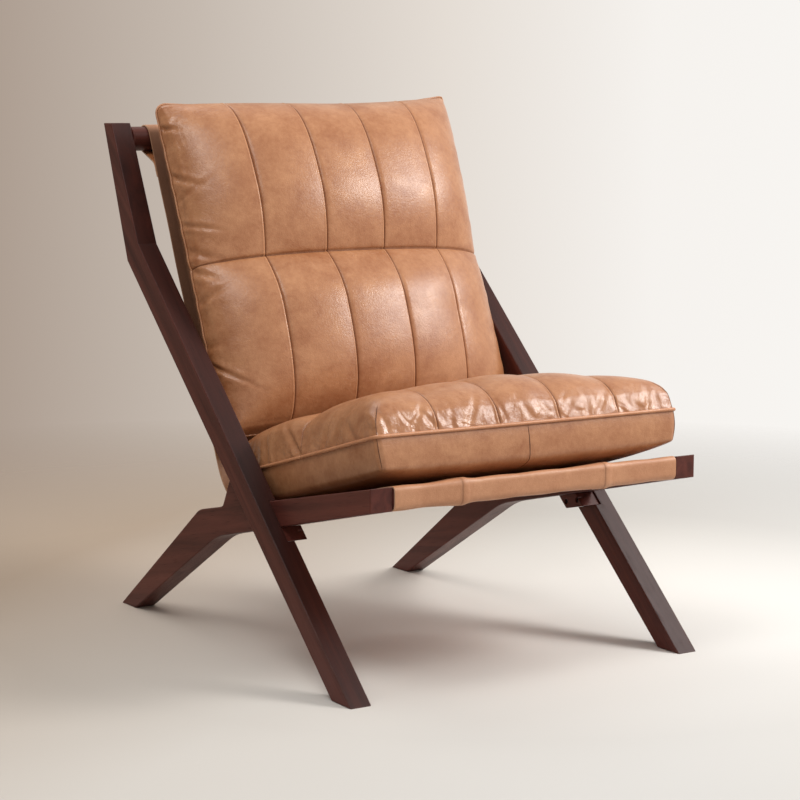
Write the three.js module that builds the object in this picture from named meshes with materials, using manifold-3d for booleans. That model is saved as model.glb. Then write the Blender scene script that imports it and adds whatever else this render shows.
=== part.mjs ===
// A sling lounge chair: a bolted wooden frame of crossed legs, a leather sling hung between
// two bars, and two loose boxed cushions with sewn channels.
// Millimetres. +Z is up, the chair faces -Y, and X = 0 is its plane of symmetry.
// The origin is on the floor, midway between the front of the seat and the rear heels.
import * as THREE from 'three';
import { mergeVertices } from 'three/addons/utils/BufferGeometryUtils.js';
import Module from 'manifold-3d';

const wasm = await Module();
wasm.setup();

// Overall frame
const FRAME_WIDTH = 680;
const FRAME_DEPTH = 878;
const WOOD_FIT = 0.3;
const EDGE_CHAMFER = 1.5;

// Posts: front leg and back upright in one piece, leaning back, widest at a bend near the top
const POST_THICKNESS = 38;
const POST_FOOT_LENGTH = 57;
const POST_TOP_LENGTH = 31;
const POST_LEAN_DEG = 47.7;
const POST_FRONT_LEAN_DEG = 46.9;
const POST_TOP_LEAN_DEG = 20.1;
const POST_TOP_FRONT_LEAN_DEG = 25.4;
const POST_BEND_HEIGHT = 670;
const POST_HEIGHT = 879;
const POST_TOE_SETBACK = 17;

// Side rails: seat rail, slimmer to the front, and tapered rear leg in one piece
const RAIL_THICKNESS = 40;
const RAIL_DEPTH = 45;
const RAIL_FRONT_DEPTH = 37;
const RAIL_SLOPE_DEG = 11.8;
const RAIL_FRONT_HEIGHT = 340;
const RAIL_REACH = 562;
const KNEE_EASE = 14;
const REAR_FOOT_DEPTH = 54;
const REAR_LEG_FRONT_LEAN_DEG = 60;
const CROTCH_EASE = 26;

// Lap: the rail is let into the post, with a lug behind it and a cleat under it
const HOUSING_DEPTH = 12.5;
const LUG_LENGTH = 113;
const LUG_LEAN_DEG = 28;
const LUG_LAP = 22;
const LUG_THICKNESS = 14;
const LUG_EASE = 9;
const CLEAT_DEPTH = 24;
const CLEAT_PROUD = 25;
const CLEAT_INSET = 3;

// Bars between the two sides
const TOP_BAR_DIAMETER = 43;
const TOP_BAR_DROP = 28;
const TOP_TENON_DIAMETER = 18;
const TOP_BAR_SETBACK = 3.5;
const FRONT_BAR_DEPTH = 38;
const FRONT_BAR_HEIGHT = 30.5;
const FRONT_TENON_THICKNESS = 16;
const FRONT_TENON_HEIGHT = 20;
const TENON_LENGTH = 22;

// Socket-head bolts
const LAP_BOLT_DIAMETER = 8;
const LAP_BOLT_HEAD_DIAMETER = 13;
const LAP_BOLT_HEAD_HEIGHT = 8;
const CLEAT_BOLT_DIAMETER = 6;
const CLEAT_BOLT_HEAD_DIAMETER = 10;
const CLEAT_BOLT_HEAD_HEIGHT = 6;
const CLEAT_BOLT_SPACING = 32;
const BOLT_HEAD_SUNK = 3;
const BOLT_GRIP = 18;
const SOCKET_SHARE = 0.6;
const LUG_BOLT_RISE = 34;

// Sling: one leather sheet, sleeved round both bars
const SLING_THICKNESS = 3.4;
const SLING_SIDE_CLEARANCE = 2;
const SLEEVE_GAP = 0.3;
const SLEEVE_RISE = 1;
const SEAT_SLOPE_DEG = 15;
const BACK_LEAN_DEG = 23.7;
const SEAT_TURN_START = 145;
const BACK_TURN_START = 105;
const SEAT_TURN = 80;
const BACK_TURN = 75;
const TOP_FLAP = 30;

// Cushions: channelled show face, piped edge, boxing and a flat-bellied underside.
// Widths and lengths are taken at the welt, from which the boxing tapers in towards the underside.
// A fullness is the power of the face's fall to an edge: the higher, the fuller the edge.
const BACK_SIDE_CLEARANCE = 5;
const SEAT_SIDE_CLEARANCE = 9;
const CUSHION_REST = 0.5;
const SEAT_REAR_CLEARANCE = 3;
const BELLY_FULLNESS = 4;
const SEAT_SIDE_FULLNESS = 4;
const SEAT_FRONT_FULLNESS = 6;
const SEAT_REAR_FULLNESS = 7;
const BACK_SIDE_FULLNESS = 3;
const BACK_FOOT_FULLNESS = 4;
const BACK_TOP_FULLNESS = 3;
const CHANNELS = 5;
const CROSS_PANELS = 2;
const SEAM_DEPTH = 12;
const SEAM_SPREAD = 42;
const SEAT_CROSS_SEAM_DEPTH = 13;
const BACK_CROSS_SEAM_DEPTH = 34;
const CROSS_SEAM_SPREAD = 105;
const SEAM_FLANK = 14;
const COVER_WALL = 3;
const QUILT_PADDING = 16;
const CORE_GAP = 0.5;
const CUSHION_CORNER = 24;
const BOXING_BULGE = 5;
const SIDE_DRAW_IN = 4;
const SEAT_BOXING = 50;
const SEAT_CROWN = 90;
const SEAT_BELLY = 24;
const SEAT_TAPER = 20;
const SEAT_FRONT_SETBACK = 5;
const BACK_CUSHION_LENGTH = 604;
const BACK_BOXING = 65;
const BACK_CROWN = 112;
const BACK_BELLY = 20;
const BACK_TAPER = 40;
const BACK_CUSHION_RISE = 24;
const SEAT_PIPING_DIAMETER = 7;
const BACK_PIPING_DIAMETER = 3;
const PIPING_GAP = 0.9;
const ZIP_LENGTH = 420;
const ZIP_WIDTH = 7;
const ZIP_GAP = 0.3;

// Facets
const ARC_STEPS = 4;
const BAR_SIDES = 32;
const BOLT_SIDES = 16;
const PIPING_SIDES = 6;
const TURN_STEPS = 14;
const BOXING_ROWS = 4;
const STOPS_ACROSS_CHANNEL = 1;
const STOPS_ALONG_CHANNEL = 3;

// A cutter runs this far past the face that it opens, and vertices this close are one.
const CUT_PAST = 1;
const WELD = 1e-4;

const wood = new THREE.MeshStandardMaterial({ color: 0x3b2122, roughness: 0.42, metalness: 0 });
const leather = new THREE.MeshStandardMaterial({ color: 0xb67c54, roughness: 0.48, metalness: 0 });
const slingLeather = new THREE.MeshStandardMaterial({ color: 0xb98058, roughness: 0.55, metalness: 0 });
const filling = new THREE.MeshStandardMaterial({ color: 0xe9e2d2, roughness: 0.95, metalness: 0 });
const steel = new THREE.MeshStandardMaterial({ color: 0x2c2b2c, roughness: 0.4, metalness: 1 });
const zipTape = new THREE.MeshStandardMaterial({ color: 0x6f4a30, roughness: 0.8, metalness: 0 });

const chair = new THREE.Group();

function addPiece(parent, name, solid, material) {
  const mesh = solid.getMesh();
  const geometry = new THREE.BufferGeometry();
  geometry.setAttribute('position', new THREE.BufferAttribute(mesh.vertProperties, 3));
  geometry.setIndex(new THREE.BufferAttribute(mesh.triVerts, 1));
  geometry.computeVertexNormals();
  const piece = new THREE.Mesh(geometry, material);
  piece.name = name;
  parent.add(piece);
  return piece;
}

function solidOf(geometry) {
  const bare = geometry.clone();
  bare.deleteAttribute('normal');
  bare.deleteAttribute('uv');
  const merged = mergeVertices(bare, WELD);
  return new wasm.Manifold(new wasm.Mesh({
    numProp: 3,
    vertProperties: new Float32Array(merged.attributes.position.array),
    triVerts: new Uint32Array(merged.index.array),
  }));
}

// Side-view points hold the chair's y and z.
const point = (y, z) => new THREE.Vector2(y, z);
const along = (start, direction, distance) => start.clone().addScaledVector(direction, distance);

// Unit direction that leans back from plumb by an angle.
function leaning(degrees) {
  const angle = THREE.MathUtils.degToRad(degrees);
  return point(Math.sin(angle), Math.cos(angle));
}

// Unit direction that runs back and falls by an angle.
function falling(degrees) {
  const angle = THREE.MathUtils.degToRad(degrees);
  return point(Math.cos(angle), -Math.sin(angle));
}

// Where the line through p along d meets the line through q along e.
function meet(p, d, q, e) {
  const t = (q.clone().sub(p)).cross(e) / d.cross(e);
  return along(p, d, t);
}

// Closed outline through corners; a corner with an ease is rounded from that far off on both sides.
function outline(corners) {
  const shape = new THREE.Shape();
  corners.forEach(({ at, ease = 0 }, i) => {
    const before = corners.at(i - 1).at;
    const after = corners[(i + 1) % corners.length].at;
    const start = along(at, before.clone().sub(at).normalize(), ease);
    if (i === 0) shape.moveTo(start.x, start.y);
    else shape.lineTo(start.x, start.y);
    if (ease > 0) {
      const end = along(at, after.clone().sub(at).normalize(), ease);
      shape.quadraticCurveTo(at.x, at.y, end.x, end.y);
    }
  });
  shape.closePath();
  return shape;
}

// The same outline with every edge moved outwards by a distance.
function outset(shape, distance) {
  const points = shape.getPoints(ARC_STEPS);
  if (points[0].distanceTo(points.at(-1)) < WELD) points.pop();
  const turn = THREE.ShapeUtils.area(points) > 0 ? 1 : -1;
  const moved = points.map((p, i) => {
    const into = p.clone().sub(points.at(i - 1)).normalize();
    const out = points[(i + 1) % points.length].clone().sub(p).normalize();
    const normalIn = point(into.y, -into.x).multiplyScalar(turn);
    const normalOut = point(out.y, -out.x).multiplyScalar(turn);
    const mitre = normalIn.clone().add(normalOut);
    return along(p, mitre, (2 * distance) / mitre.lengthSq());
  });
  return new THREE.Shape(moved);
}

// Side outline carried across the chair from one x to another, with chamfered rims.
function slab(shape, fromX, toX, chamfer = 0) {
  const thickness = Math.abs(toX - fromX);
  const geometry = new THREE.ExtrudeGeometry(shape, {
    depth: thickness - 2 * chamfer,
    curveSegments: ARC_STEPS,
    bevelEnabled: chamfer > 0,
    bevelThickness: chamfer,
    bevelSize: chamfer,
    bevelOffset: -chamfer,
    bevelSegments: 1,
  });
  geometry.translate(0, 0, Math.min(fromX, toX) + chamfer);
  const [x, y, z] = [new THREE.Vector3(1, 0, 0), new THREE.Vector3(0, 1, 0), new THREE.Vector3(0, 0, 1)];
  geometry.applyMatrix4(new THREE.Matrix4().makeBasis(y, z, x));
  return solidOf(geometry);
}

// Turned piece along the x axis through a side-view point, from [x, radius] steps.
function turned(steps, centre, sides) {
  const profile = steps.map(([x, radius]) => new THREE.Vector2(radius, x));
  const geometry = new THREE.LatheGeometry(profile, sides);
  geometry.rotateZ(-Math.PI / 2);
  geometry.translate(0, centre.x, centre.y);
  return solidOf(geometry);
}

// Plain round rod along x, as a cutter or a stub.
function rod(fromX, toX, radius, centre, sides) {
  const [low, high] = [Math.min(fromX, toX), Math.max(fromX, toX)];
  return turned([[low, 0], [low, radius], [high, radius], [high, 0]], centre, sides);
}

// Frame geometry in side view
const postOuterX = FRAME_WIDTH / 2;
const postInnerX = postOuterX - POST_THICKNESS;
const railOuterX = postInnerX + HOUSING_DEPTH;
const railInnerX = railOuterX - RAIL_THICKNESS;
const lugInnerX = railOuterX - LUG_THICKNESS;
const cleatInnerX = postInnerX - CLEAT_PROUD;
const seatFrontY = -FRAME_DEPTH / 2;
const frontFaceY = seatFrontY + SLING_THICKNESS + SLEEVE_GAP;
const up = point(0, 1);
const rearwards = point(1, 0);

const postDirection = leaning(POST_LEAN_DEG);
const postFrontDirection = leaning(POST_FRONT_LEAN_DEG);
const postTopDirection = leaning(POST_TOP_LEAN_DEG);
const postTopFrontDirection = leaning(POST_TOP_FRONT_LEAN_DEG);
const postToe = point(frontFaceY + POST_TOE_SETBACK, 0);
const postHeel = along(postToe, rearwards, POST_FOOT_LENGTH);
const postBend = along(postToe, postFrontDirection, POST_BEND_HEIGHT / postFrontDirection.y);
const postTopRise = POST_HEIGHT - POST_BEND_HEIGHT;
const postTop = along(postBend, postTopFrontDirection, postTopRise / postTopFrontDirection.y);
const postTopRear = along(postTop, rearwards, POST_TOP_LENGTH);
const postBendRear = meet(postHeel, postDirection, postTopRear, postTopDirection);
const postForward = point(-postDirection.y, postDirection.x);

// Middle of the leg's front and rear edges, where a line crosses it.
function postMiddleOn(at, direction) {
  const front = meet(postToe, postFrontDirection, at, direction);
  return front.lerp(meet(postHeel, postDirection, at, direction), 0.5);
}

const railDirection = falling(RAIL_SLOPE_DEG);
const railTop = point(frontFaceY, RAIL_FRONT_HEIGHT);
const railBottom = along(railTop, up, -RAIL_FRONT_DEPTH / railDirection.x);
const railDown = point(railDirection.y, -railDirection.x);
const lapTop = postMiddleOn(railTop, railDirection);
const lapBottom = along(lapTop, railDown, RAIL_DEPTH);
const railUnder = lapBottom.clone().sub(railBottom).normalize();
const knee = along(railTop, railDirection, RAIL_REACH / railDirection.x);
const rearHeel = point(FRAME_DEPTH / 2, 0);
const rearToe = along(rearHeel, rearwards, -REAR_FOOT_DEPTH);
const crotch = meet(rearToe, leaning(-REAR_LEG_FRONT_LEAN_DEG), railBottom, railUnder);

const lugFoot = along(meet(railTop, railDirection, postHeel, postDirection), railDirection, LUG_LENGTH);
const lugTip = meet(lugFoot, leaning(-LUG_LEAN_DEG), postHeel, postDirection);
const lugCorner = along(lugTip, postForward, LUG_LAP);
const lugRoot = meet(lugCorner, postDirection, railTop, railDirection);

const postCorners = [postToe, postHeel, postBendRear, postTopRear, postTop, postBend];
const postOutline = outline(postCorners.map((at) => ({ at })));
const railCorners = [
  { at: railBottom },
  { at: crotch, ease: CROTCH_EASE },
  { at: rearToe },
  { at: rearHeel },
  { at: knee, ease: KNEE_EASE },
  { at: railTop },
];
const railOutline = outline(railCorners);
const luggedOutline = outline([
  ...railCorners.slice(0, -1),
  { at: lugFoot, ease: LUG_EASE },
  { at: lugTip },
  { at: lugCorner },
  { at: lugRoot },
  { at: railTop },
]);

// The cleat fills the post's housing below the rail, its ends in line with the post's edges.
const cleatTop = along(railBottom, up, -WOOD_FIT);
const cleatBottom = along(cleatTop, up, -CLEAT_DEPTH / railUnder.x);
const cleatFront = along(postToe, rearwards, CLEAT_INSET / postFrontDirection.y);
const cleatOutline = outline([
  { at: meet(cleatFront, postFrontDirection, cleatBottom, railUnder) },
  { at: meet(postHeel, postDirection, cleatBottom, railUnder), ease: CLEAT_INSET },
  { at: meet(postHeel, postDirection, cleatTop, railUnder) },
  { at: meet(cleatFront, postFrontDirection, cleatTop, railUnder) },
]);

// The housing crosses the whole post, from just over the rail to just under the cleat.
const housingTop = along(railTop, up, WOOD_FIT);
const housingBottom = along(cleatBottom, up, -WOOD_FIT);
const housingOutline = outline([
  { at: housingBottom },
  { at: along(housingBottom, railUnder, RAIL_REACH) },
  { at: along(housingTop, railDirection, RAIL_REACH) },
  { at: housingTop },
]);
const lugHousing = outset(outline([lugRoot, lugFoot, lugTip, lugCorner].map((at) => ({ at }))), WOOD_FIT);

// Bars
const topBarCentre = (() => {
  const level = point(0, POST_HEIGHT - TOP_BAR_DROP);
  const front = meet(postTop, postTopFrontDirection, level, rearwards);
  const middle = front.lerp(meet(postTopRear, postTopDirection, level, rearwards), 0.5);
  return along(middle, rearwards, TOP_BAR_SETBACK);
})();
const topBarRadius = TOP_BAR_DIAMETER / 2;
const topTenonRadius = TOP_TENON_DIAMETER / 2;

// The front bar lies lower than the rails by its sleeve, which stands a little proud of them.
const frontBarRun = FRONT_BAR_DEPTH / railDirection.x;
const frontBarTop = along(railTop, up, (SLEEVE_RISE - SLEEVE_GAP - SLING_THICKNESS) / railDirection.x);
const frontBarBottom = along(frontBarTop, up, -FRONT_BAR_HEIGHT / railDirection.x);
const frontBarOutline = outline([
  { at: frontBarBottom },
  { at: along(frontBarBottom, railDirection, frontBarRun) },
  { at: along(frontBarTop, railDirection, frontBarRun) },
  { at: frontBarTop },
]);
const frontBarCentre = along(frontBarTop.clone().lerp(frontBarBottom, 0.5), railDirection, frontBarRun / 2);
const tenonCorners = [[-1, -1], [1, -1], [1, 1], [-1, 1]].map(([back, over]) => ({
  at: along(
    along(frontBarCentre, rearwards, (back * FRONT_TENON_THICKNESS) / 2),
    up,
    (over * FRONT_TENON_HEIGHT) / 2,
  ),
}));
const tenonOutline = outline(tenonCorners);

// Bolt places in side view
const lapCentre = lapTop.clone().lerp(lapBottom, 0.5);
const lugMiddle = along(lugRoot.clone().lerp(lugTip, 0.5), postDirection, LUG_BOLT_RISE / 2);
const cleatMiddle = postMiddleOn(cleatTop.clone().lerp(cleatBottom, 0.5), railUnder);

// Socket-head bolt along x, head inwards, on one side of the chair.
function bolt(headX, shankEndX, diameter, headDiameter, headHeight, centre, side) {
  const [radius, headRadius] = [diameter / 2, headDiameter / 2];
  const steps = [
    [headX, 0],
    [headX, headRadius],
    [headX + headHeight, headRadius],
    [headX + headHeight, radius],
    [shankEndX, radius],
    [shankEndX, 0],
  ];
  const placed = steps.map(([x, r]) => [side * x, r]);
  const body = turned(side > 0 ? placed : placed.reverse(), centre, BOLT_SIDES);
  const hexSides = 6;
  const socketEnds = [headX - CUT_PAST, headX + headHeight / 2].map((x) => side * x);
  return body.subtract(rod(...socketEnds, radius * SOCKET_SHARE, centre, hexSides));
}

// Clearance hole for such a bolt, with the counterbore that sinks its head below a face.
function boltHole(faceX, headX, shankEndX, diameter, headDiameter, headHeight, centre, side) {
  const shank = rod(side * headX, side * (shankEndX + WOOD_FIT), diameter / 2 + WOOD_FIT, centre, BOLT_SIDES);
  const seat = headX + headHeight + WOOD_FIT;
  const mouth = faceX - CUT_PAST;
  return shank.add(rod(side * mouth, side * seat, headDiameter / 2 + WOOD_FIT, centre, BOLT_SIDES));
}

const largeBolt = [LAP_BOLT_DIAMETER, LAP_BOLT_HEAD_DIAMETER, LAP_BOLT_HEAD_HEIGHT];
const smallBolt = [CLEAT_BOLT_DIAMETER, CLEAT_BOLT_HEAD_DIAMETER, CLEAT_BOLT_HEAD_HEIGHT];

// A bolt sunk in an inward face, gripping the post, with the hole that it needs.
function sunkBolt(sizes, faceX, centre, side) {
  const headX = faceX + BOLT_HEAD_SUNK;
  const endX = railOuterX + BOLT_GRIP;
  return {
    solid: bolt(headX, endX, ...sizes, centre, side),
    hole: boltHole(faceX, headX, endX, ...sizes, centre, side),
  };
}

// One side of the frame: post, rail, cleat and their bolts
function addSide(name, side) {
  const at = (x) => side * x;
  const lapBolts = {
    low: sunkBolt(largeBolt, railInnerX, lapCentre, side),
    high: sunkBolt(smallBolt, lugInnerX, lugMiddle, side),
  };
  const [ahead, behind] = [-0.5, 0.5].map((share) => (
    along(cleatMiddle, railUnder, share * CLEAT_BOLT_SPACING)
  ));
  const cleatBolts = {
    front: sunkBolt(smallBolt, cleatInnerX, ahead, side),
    rear: sunkBolt(smallBolt, cleatInnerX, behind, side),
  };
  const socketEnd = postInnerX + TENON_LENGTH + WOOD_FIT;
  let post = slab(postOutline, at(postInnerX), at(postOuterX), EDGE_CHAMFER);
  let rail = slab(railOutline, at(railInnerX), at(railOuterX), EDGE_CHAMFER);
  rail = rail.add(slab(luggedOutline, at(lugInnerX), at(railOuterX), EDGE_CHAMFER));
  let cleat = slab(cleatOutline, at(cleatInnerX), at(railOuterX));
  for (const housing of [housingOutline, lugHousing]) {
    post = post.subtract(slab(housing, at(postInnerX - CUT_PAST), at(railOuterX + WOOD_FIT)));
  }
  const socketEnds = [at(postInnerX - CUT_PAST), at(socketEnd)];
  post = post.subtract(rod(...socketEnds, topTenonRadius + WOOD_FIT, topBarCentre, BAR_SIDES));
  const mortiseEnd = railInnerX + TENON_LENGTH + WOOD_FIT;
  rail = rail.subtract(slab(outset(tenonOutline, WOOD_FIT), at(railInnerX - CUT_PAST), at(mortiseEnd)));
  for (const { hole } of Object.values(lapBolts)) {
    post = post.subtract(hole);
    rail = rail.subtract(hole);
  }
  for (const { hole } of Object.values(cleatBolts)) {
    post = post.subtract(hole);
    cleat = cleat.subtract(hole);
  }
  addPiece(chair, `${name}_post`, post, wood);
  addPiece(chair, `${name}_side_rail`, rail, wood);
  addPiece(chair, `${name}_cleat`, cleat, wood);
  for (const [place, { solid }] of Object.entries(lapBolts)) {
    addPiece(chair, `${name}_lap_bolt_${place}`, solid, steel);
  }
  for (const [place, { solid }] of Object.entries(cleatBolts)) {
    addPiece(chair, `${name}_cleat_bolt_${place}`, solid, steel);
  }
}

function addBars() {
  const topHalf = postInnerX - WOOD_FIT;
  const topEnd = postInnerX + TENON_LENGTH;
  addPiece(chair, 'top_bar', turned([
    [-topEnd, 0],
    [-topEnd, topTenonRadius],
    [-topHalf, topTenonRadius],
    [-topHalf, topBarRadius],
    [topHalf, topBarRadius],
    [topHalf, topTenonRadius],
    [topEnd, topTenonRadius],
    [topEnd, 0],
  ], topBarCentre, BAR_SIDES), wood);
  const frontHalf = railInnerX - WOOD_FIT;
  const frontEnd = railInnerX + TENON_LENGTH;
  const tenons = slab(tenonOutline, -frontEnd, frontEnd);
  addPiece(chair, 'front_bar', slab(frontBarOutline, -frontHalf, frontHalf, EDGE_CHAMFER).add(tenons), wood);
}

// Sling path in side view: straight over the seat, one turn, straight up the back
const seatDirection = falling(SEAT_SLOPE_DEG);
const seatUp = point(-seatDirection.y, seatDirection.x);
const backDirection = leaning(BACK_LEAN_DEG);
const backForward = point(-backDirection.y, backDirection.x);
const sleeveInside = outset(frontBarOutline, SLEEVE_GAP);
const sleeveMiddle = outset(frontBarOutline, SLEEVE_GAP + SLING_THICKNESS / 2);
const sleeveOutside = outset(frontBarOutline, SLEEVE_GAP + SLING_THICKNESS);
const sleeveRearTop = sleeveMiddle.getPoints()[2];
const topSleeveRadius = topBarRadius + SLEEVE_GAP + SLING_THICKNESS / 2;
const backTop = along(topBarCentre, backForward, topSleeveRadius);
const slingCorner = meet(sleeveRearTop, seatDirection, backTop, backDirection);
const seatEnd = along(slingCorner, seatDirection, -SEAT_TURN_START);
const backFoot = along(slingCorner, backDirection, BACK_TURN_START);

// Strip of the sheet's thickness along side-view points.
function ribbon(points) {
  const sides = points.map((p, i) => {
    const ahead = points[Math.min(i + 1, points.length - 1)];
    const behind = points[Math.max(i - 1, 0)];
    const heading = ahead.clone().sub(behind).normalize();
    const over = point(-heading.y, heading.x);
    return [along(p, over, SLING_THICKNESS / 2), along(p, over, -SLING_THICKNESS / 2)];
  });
  return new THREE.Shape([...sides.map(([over]) => over), ...sides.map(([, under]) => under).reverse()]);
}

// The flap under the top bar runs from the back of the sleeve to the sheet, touching both.
function topFlapLine() {
  const sewn = along(backTop, backDirection, -TOP_FLAP - topSleeveRadius);
  const toSewn = sewn.clone().sub(topBarCentre);
  const reach = toSewn.length();
  const turn = Math.acos(topSleeveRadius / reach);
  const touch = toSewn.clone().multiplyScalar(topSleeveRadius / reach).rotateAround(point(0, 0), turn);
  return [sewn, topBarCentre.clone().add(touch)];
}

function addSling() {
  const half = railInnerX - SLING_SIDE_CLEARANCE;
  const turn = new THREE.CubicBezierCurve(
    seatEnd,
    along(seatEnd, seatDirection, SEAT_TURN),
    along(backFoot, backDirection, -BACK_TURN),
    backFoot,
  );
  const sheet = slab(ribbon([sleeveRearTop, ...turn.getPoints(TURN_STEPS), backTop]), -half, half);
  const past = half + CUT_PAST;
  const frontSleeve = slab(sleeveOutside, -half, half).subtract(slab(sleeveInside, -past, past));
  const outerRadius = topSleeveRadius + SLING_THICKNESS / 2;
  const innerRadius = topSleeveRadius - SLING_THICKNESS / 2;
  const hole = rod(-past, past, innerRadius, topBarCentre, BAR_SIDES);
  const topSleeve = rod(-half, half, outerRadius, topBarCentre, BAR_SIDES);
  const flap = slab(ribbon(topFlapLine()), -half, half);
  const sling = sheet.add(frontSleeve).add(topSleeve).add(flap).subtract(hole);
  addPiece(chair, 'sling', sling, slingLeather);
}

// Fullness of a cushion's face: 1 in the middle, flat for most of the way, 0 at the edges.
function fullness(s, t, { side, near, far }) {
  const lengthways = Math.abs(t) ** (t > 0 ? far : near);
  return Math.sqrt((1 - Math.abs(s) ** side) * (1 - lengthways));
}

// Depth share of a sewn line at a distance from it: full on the line, none past its spread.
const seamShare = (distance, spread) => Math.max(0, 1 - distance / spread) ** 2;

// Grid stops from -1 to 1: the edges, the round corners' starts and middles, each sewn line with
// its two flanks, and some stops between the lines.
function gridStops(half, corner, panels, stopsBetween, seams) {
  const bend = 1 - corner / half;
  const flank = SEAM_FLANK / half;
  const stops = [bend, (1 + bend) / 2, 1].flatMap((stop) => [-stop, stop]);
  for (let i = 0; i < panels; i += 1) {
    const start = -1 + (2 * i) / panels;
    for (let k = 1; k <= stopsBetween; k += 1) {
      const stop = start + (2 * k) / panels / (stopsBetween + 1);
      if (Math.abs(stop) < bend - flank) stops.push(stop);
    }
    if (i > 0 && seams) stops.push(start - flank, start, start + flank);
  }
  return stops.sort((a, b) => a - b);
}

// Half sizes of a cushion's faces at the welt, across and along.
const faceHalves = (size) => [size.halfWidth, size.length / 2];

function faceStops(size, seams) {
  const [halfAcross, halfAlong] = faceHalves(size);
  return [
    gridStops(halfAcross, size.corner, CHANNELS, STOPS_ACROSS_CHANNEL, seams),
    gridStops(halfAlong, size.corner, CROSS_PANELS, STOPS_ALONG_CHANNEL, seams),
  ];
}

// A cushion's closed surface in its own frame: u across, v along, w off the sheet it rests on.
// The show face is crowned and sewn, the boxing bulges, and the belly is flat but for its edges.
function cushionSurface(size, [stopsAcross, stopsAlong]) {
  const [halfAcross, halfAlong] = faceHalves(size);
  const { corner } = size;
  const positions = [];
  const triangles = [];

  // Plan of a grid stop: a rectangle with round corners and sides drawn in between them, smaller
  // by the taper's share.
  function plan(s, t, taperShare = 0) {
    const across = Math.max(0, (Math.abs(s) * halfAcross - (halfAcross - corner)) / corner);
    const alongside = Math.max(0, (Math.abs(t) * halfAlong - (halfAlong - corner)) / corner);
    const u = across > 0 ? halfAcross - corner + corner * across * Math.sqrt(1 - alongside ** 2 / 2)
      : Math.abs(s) * halfAcross;
    const v = alongside > 0 ? halfAlong - corner + corner * alongside * Math.sqrt(1 - across ** 2 / 2)
      : Math.abs(t) * halfAlong;
    const drawnU = SIDE_DRAW_IN * Math.abs(s) * (1 - t ** 2);
    const drawnV = SIDE_DRAW_IN * Math.abs(t) * (1 - s ** 2);
    const outward = new THREE.Vector2(Math.abs(s) === 1 ? across : 0, Math.abs(t) === 1 ? alongside : 0);
    if (across > 0 && alongside > 0) outward.set(u - (halfAcross - corner), v - (halfAlong - corner));
    outward.normalize();
    const taper = size.taper * taperShare;
    return {
      u: Math.sign(s) * (u - drawnU) * (1 - taper / halfAcross),
      v: halfAlong + Math.sign(t) * (v - drawnV) * (1 - taper / halfAlong),
      outward: outward.multiply(new THREE.Vector2(Math.sign(s), Math.sign(t))),
    };
  }

  function face(height, taperShare, flip) {
    const first = positions.length / 3;
    const columns = stopsAlong.length;
    for (const s of stopsAcross) {
      for (const t of stopsAlong) {
        const { u, v } = plan(s, t, taperShare);
        positions.push(u, v, height(s, t));
      }
    }
    for (let i = 0; i + 1 < stopsAcross.length; i += 1) {
      for (let j = 0; j + 1 < columns; j += 1) {
        const a = first + i * columns + j;
        const [b, c, d] = [a + columns, a + columns + 1, a + 1];
        triangles.push(...(flip ? [a, c, b, a, d, c] : [a, b, c, a, c, d]));
      }
    }
  }

  // Share of the seam's depth from the sewn lines that cut one direction into equal panels.
  function sewnLines(stop, half, panels, spread) {
    const shares = Array.from({ length: panels - 1 }, (_, i) => {
      const line = -1 + (2 * (i + 1)) / panels;
      return seamShare(Math.abs(stop - line) * half, spread);
    });
    return Math.max(...shares);
  }

  function showFace(s, t) {
    const channel = size.seam * sewnLines(s, halfAcross, CHANNELS, SEAM_SPREAD);
    const cross = size.crossSeam * sewnLines(t, halfAlong, CROSS_PANELS, CROSS_SEAM_SPREAD);
    const full = fullness(s, t, size.fullness);
    return size.belly + size.boxing + (size.crown - Math.max(channel, cross)) * full;
  }
  face(showFace, 0, false);
  const flat = { side: BELLY_FULLNESS, near: BELLY_FULLNESS, far: BELLY_FULLNESS };
  face((s, t) => size.belly * (1 - fullness(s, t, flat)), 1, true);

  // Boxing rows run round the edge from the welt to the belly's seam.
  const rim = rimStops(stopsAcross, stopsAlong);
  const first = positions.length / 3;
  for (let row = 0; row <= BOXING_ROWS; row += 1) {
    const down = row / BOXING_ROWS;
    const bulge = BOXING_BULGE * Math.sin(Math.PI * down);
    for (const [s, t] of rim) {
      const { u, v, outward } = plan(s, t, down);
      const w = size.belly + size.boxing * (1 - down);
      positions.push(u + outward.x * bulge, v + outward.y * bulge, w);
    }
  }
  for (let row = 0; row < BOXING_ROWS; row += 1) {
    rim.forEach((_, i) => {
      const next = (i + 1) % rim.length;
      const [a, b] = [first + row * rim.length + i, first + row * rim.length + next];
      const [c, d] = [b + rim.length, a + rim.length];
      triangles.push(a, c, b, a, d, c);
    });
  }
  const geometry = new THREE.BufferGeometry();
  geometry.setAttribute('position', new THREE.Float32BufferAttribute(positions, 3));
  geometry.setIndex(triangles);
  const welt = rim.map(([s, t]) => ({ ...plan(s, t), w: size.belly + size.boxing }));
  return { solid: solidOf(geometry), welt };
}

// Grid stops round the edge of a face, anticlockwise seen from above.
function rimStops(stopsAcross, stopsAlong) {
  const front = stopsAcross.slice(0, -1).map((s) => [s, -1]);
  const right = stopsAlong.slice(0, -1).map((t) => [1, t]);
  const rear = stopsAcross.slice(1).reverse().map((s) => [s, 1]);
  const left = stopsAlong.slice(1).reverse().map((t) => [-1, t]);
  return [...front, ...right, ...rear, ...left];
}

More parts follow.
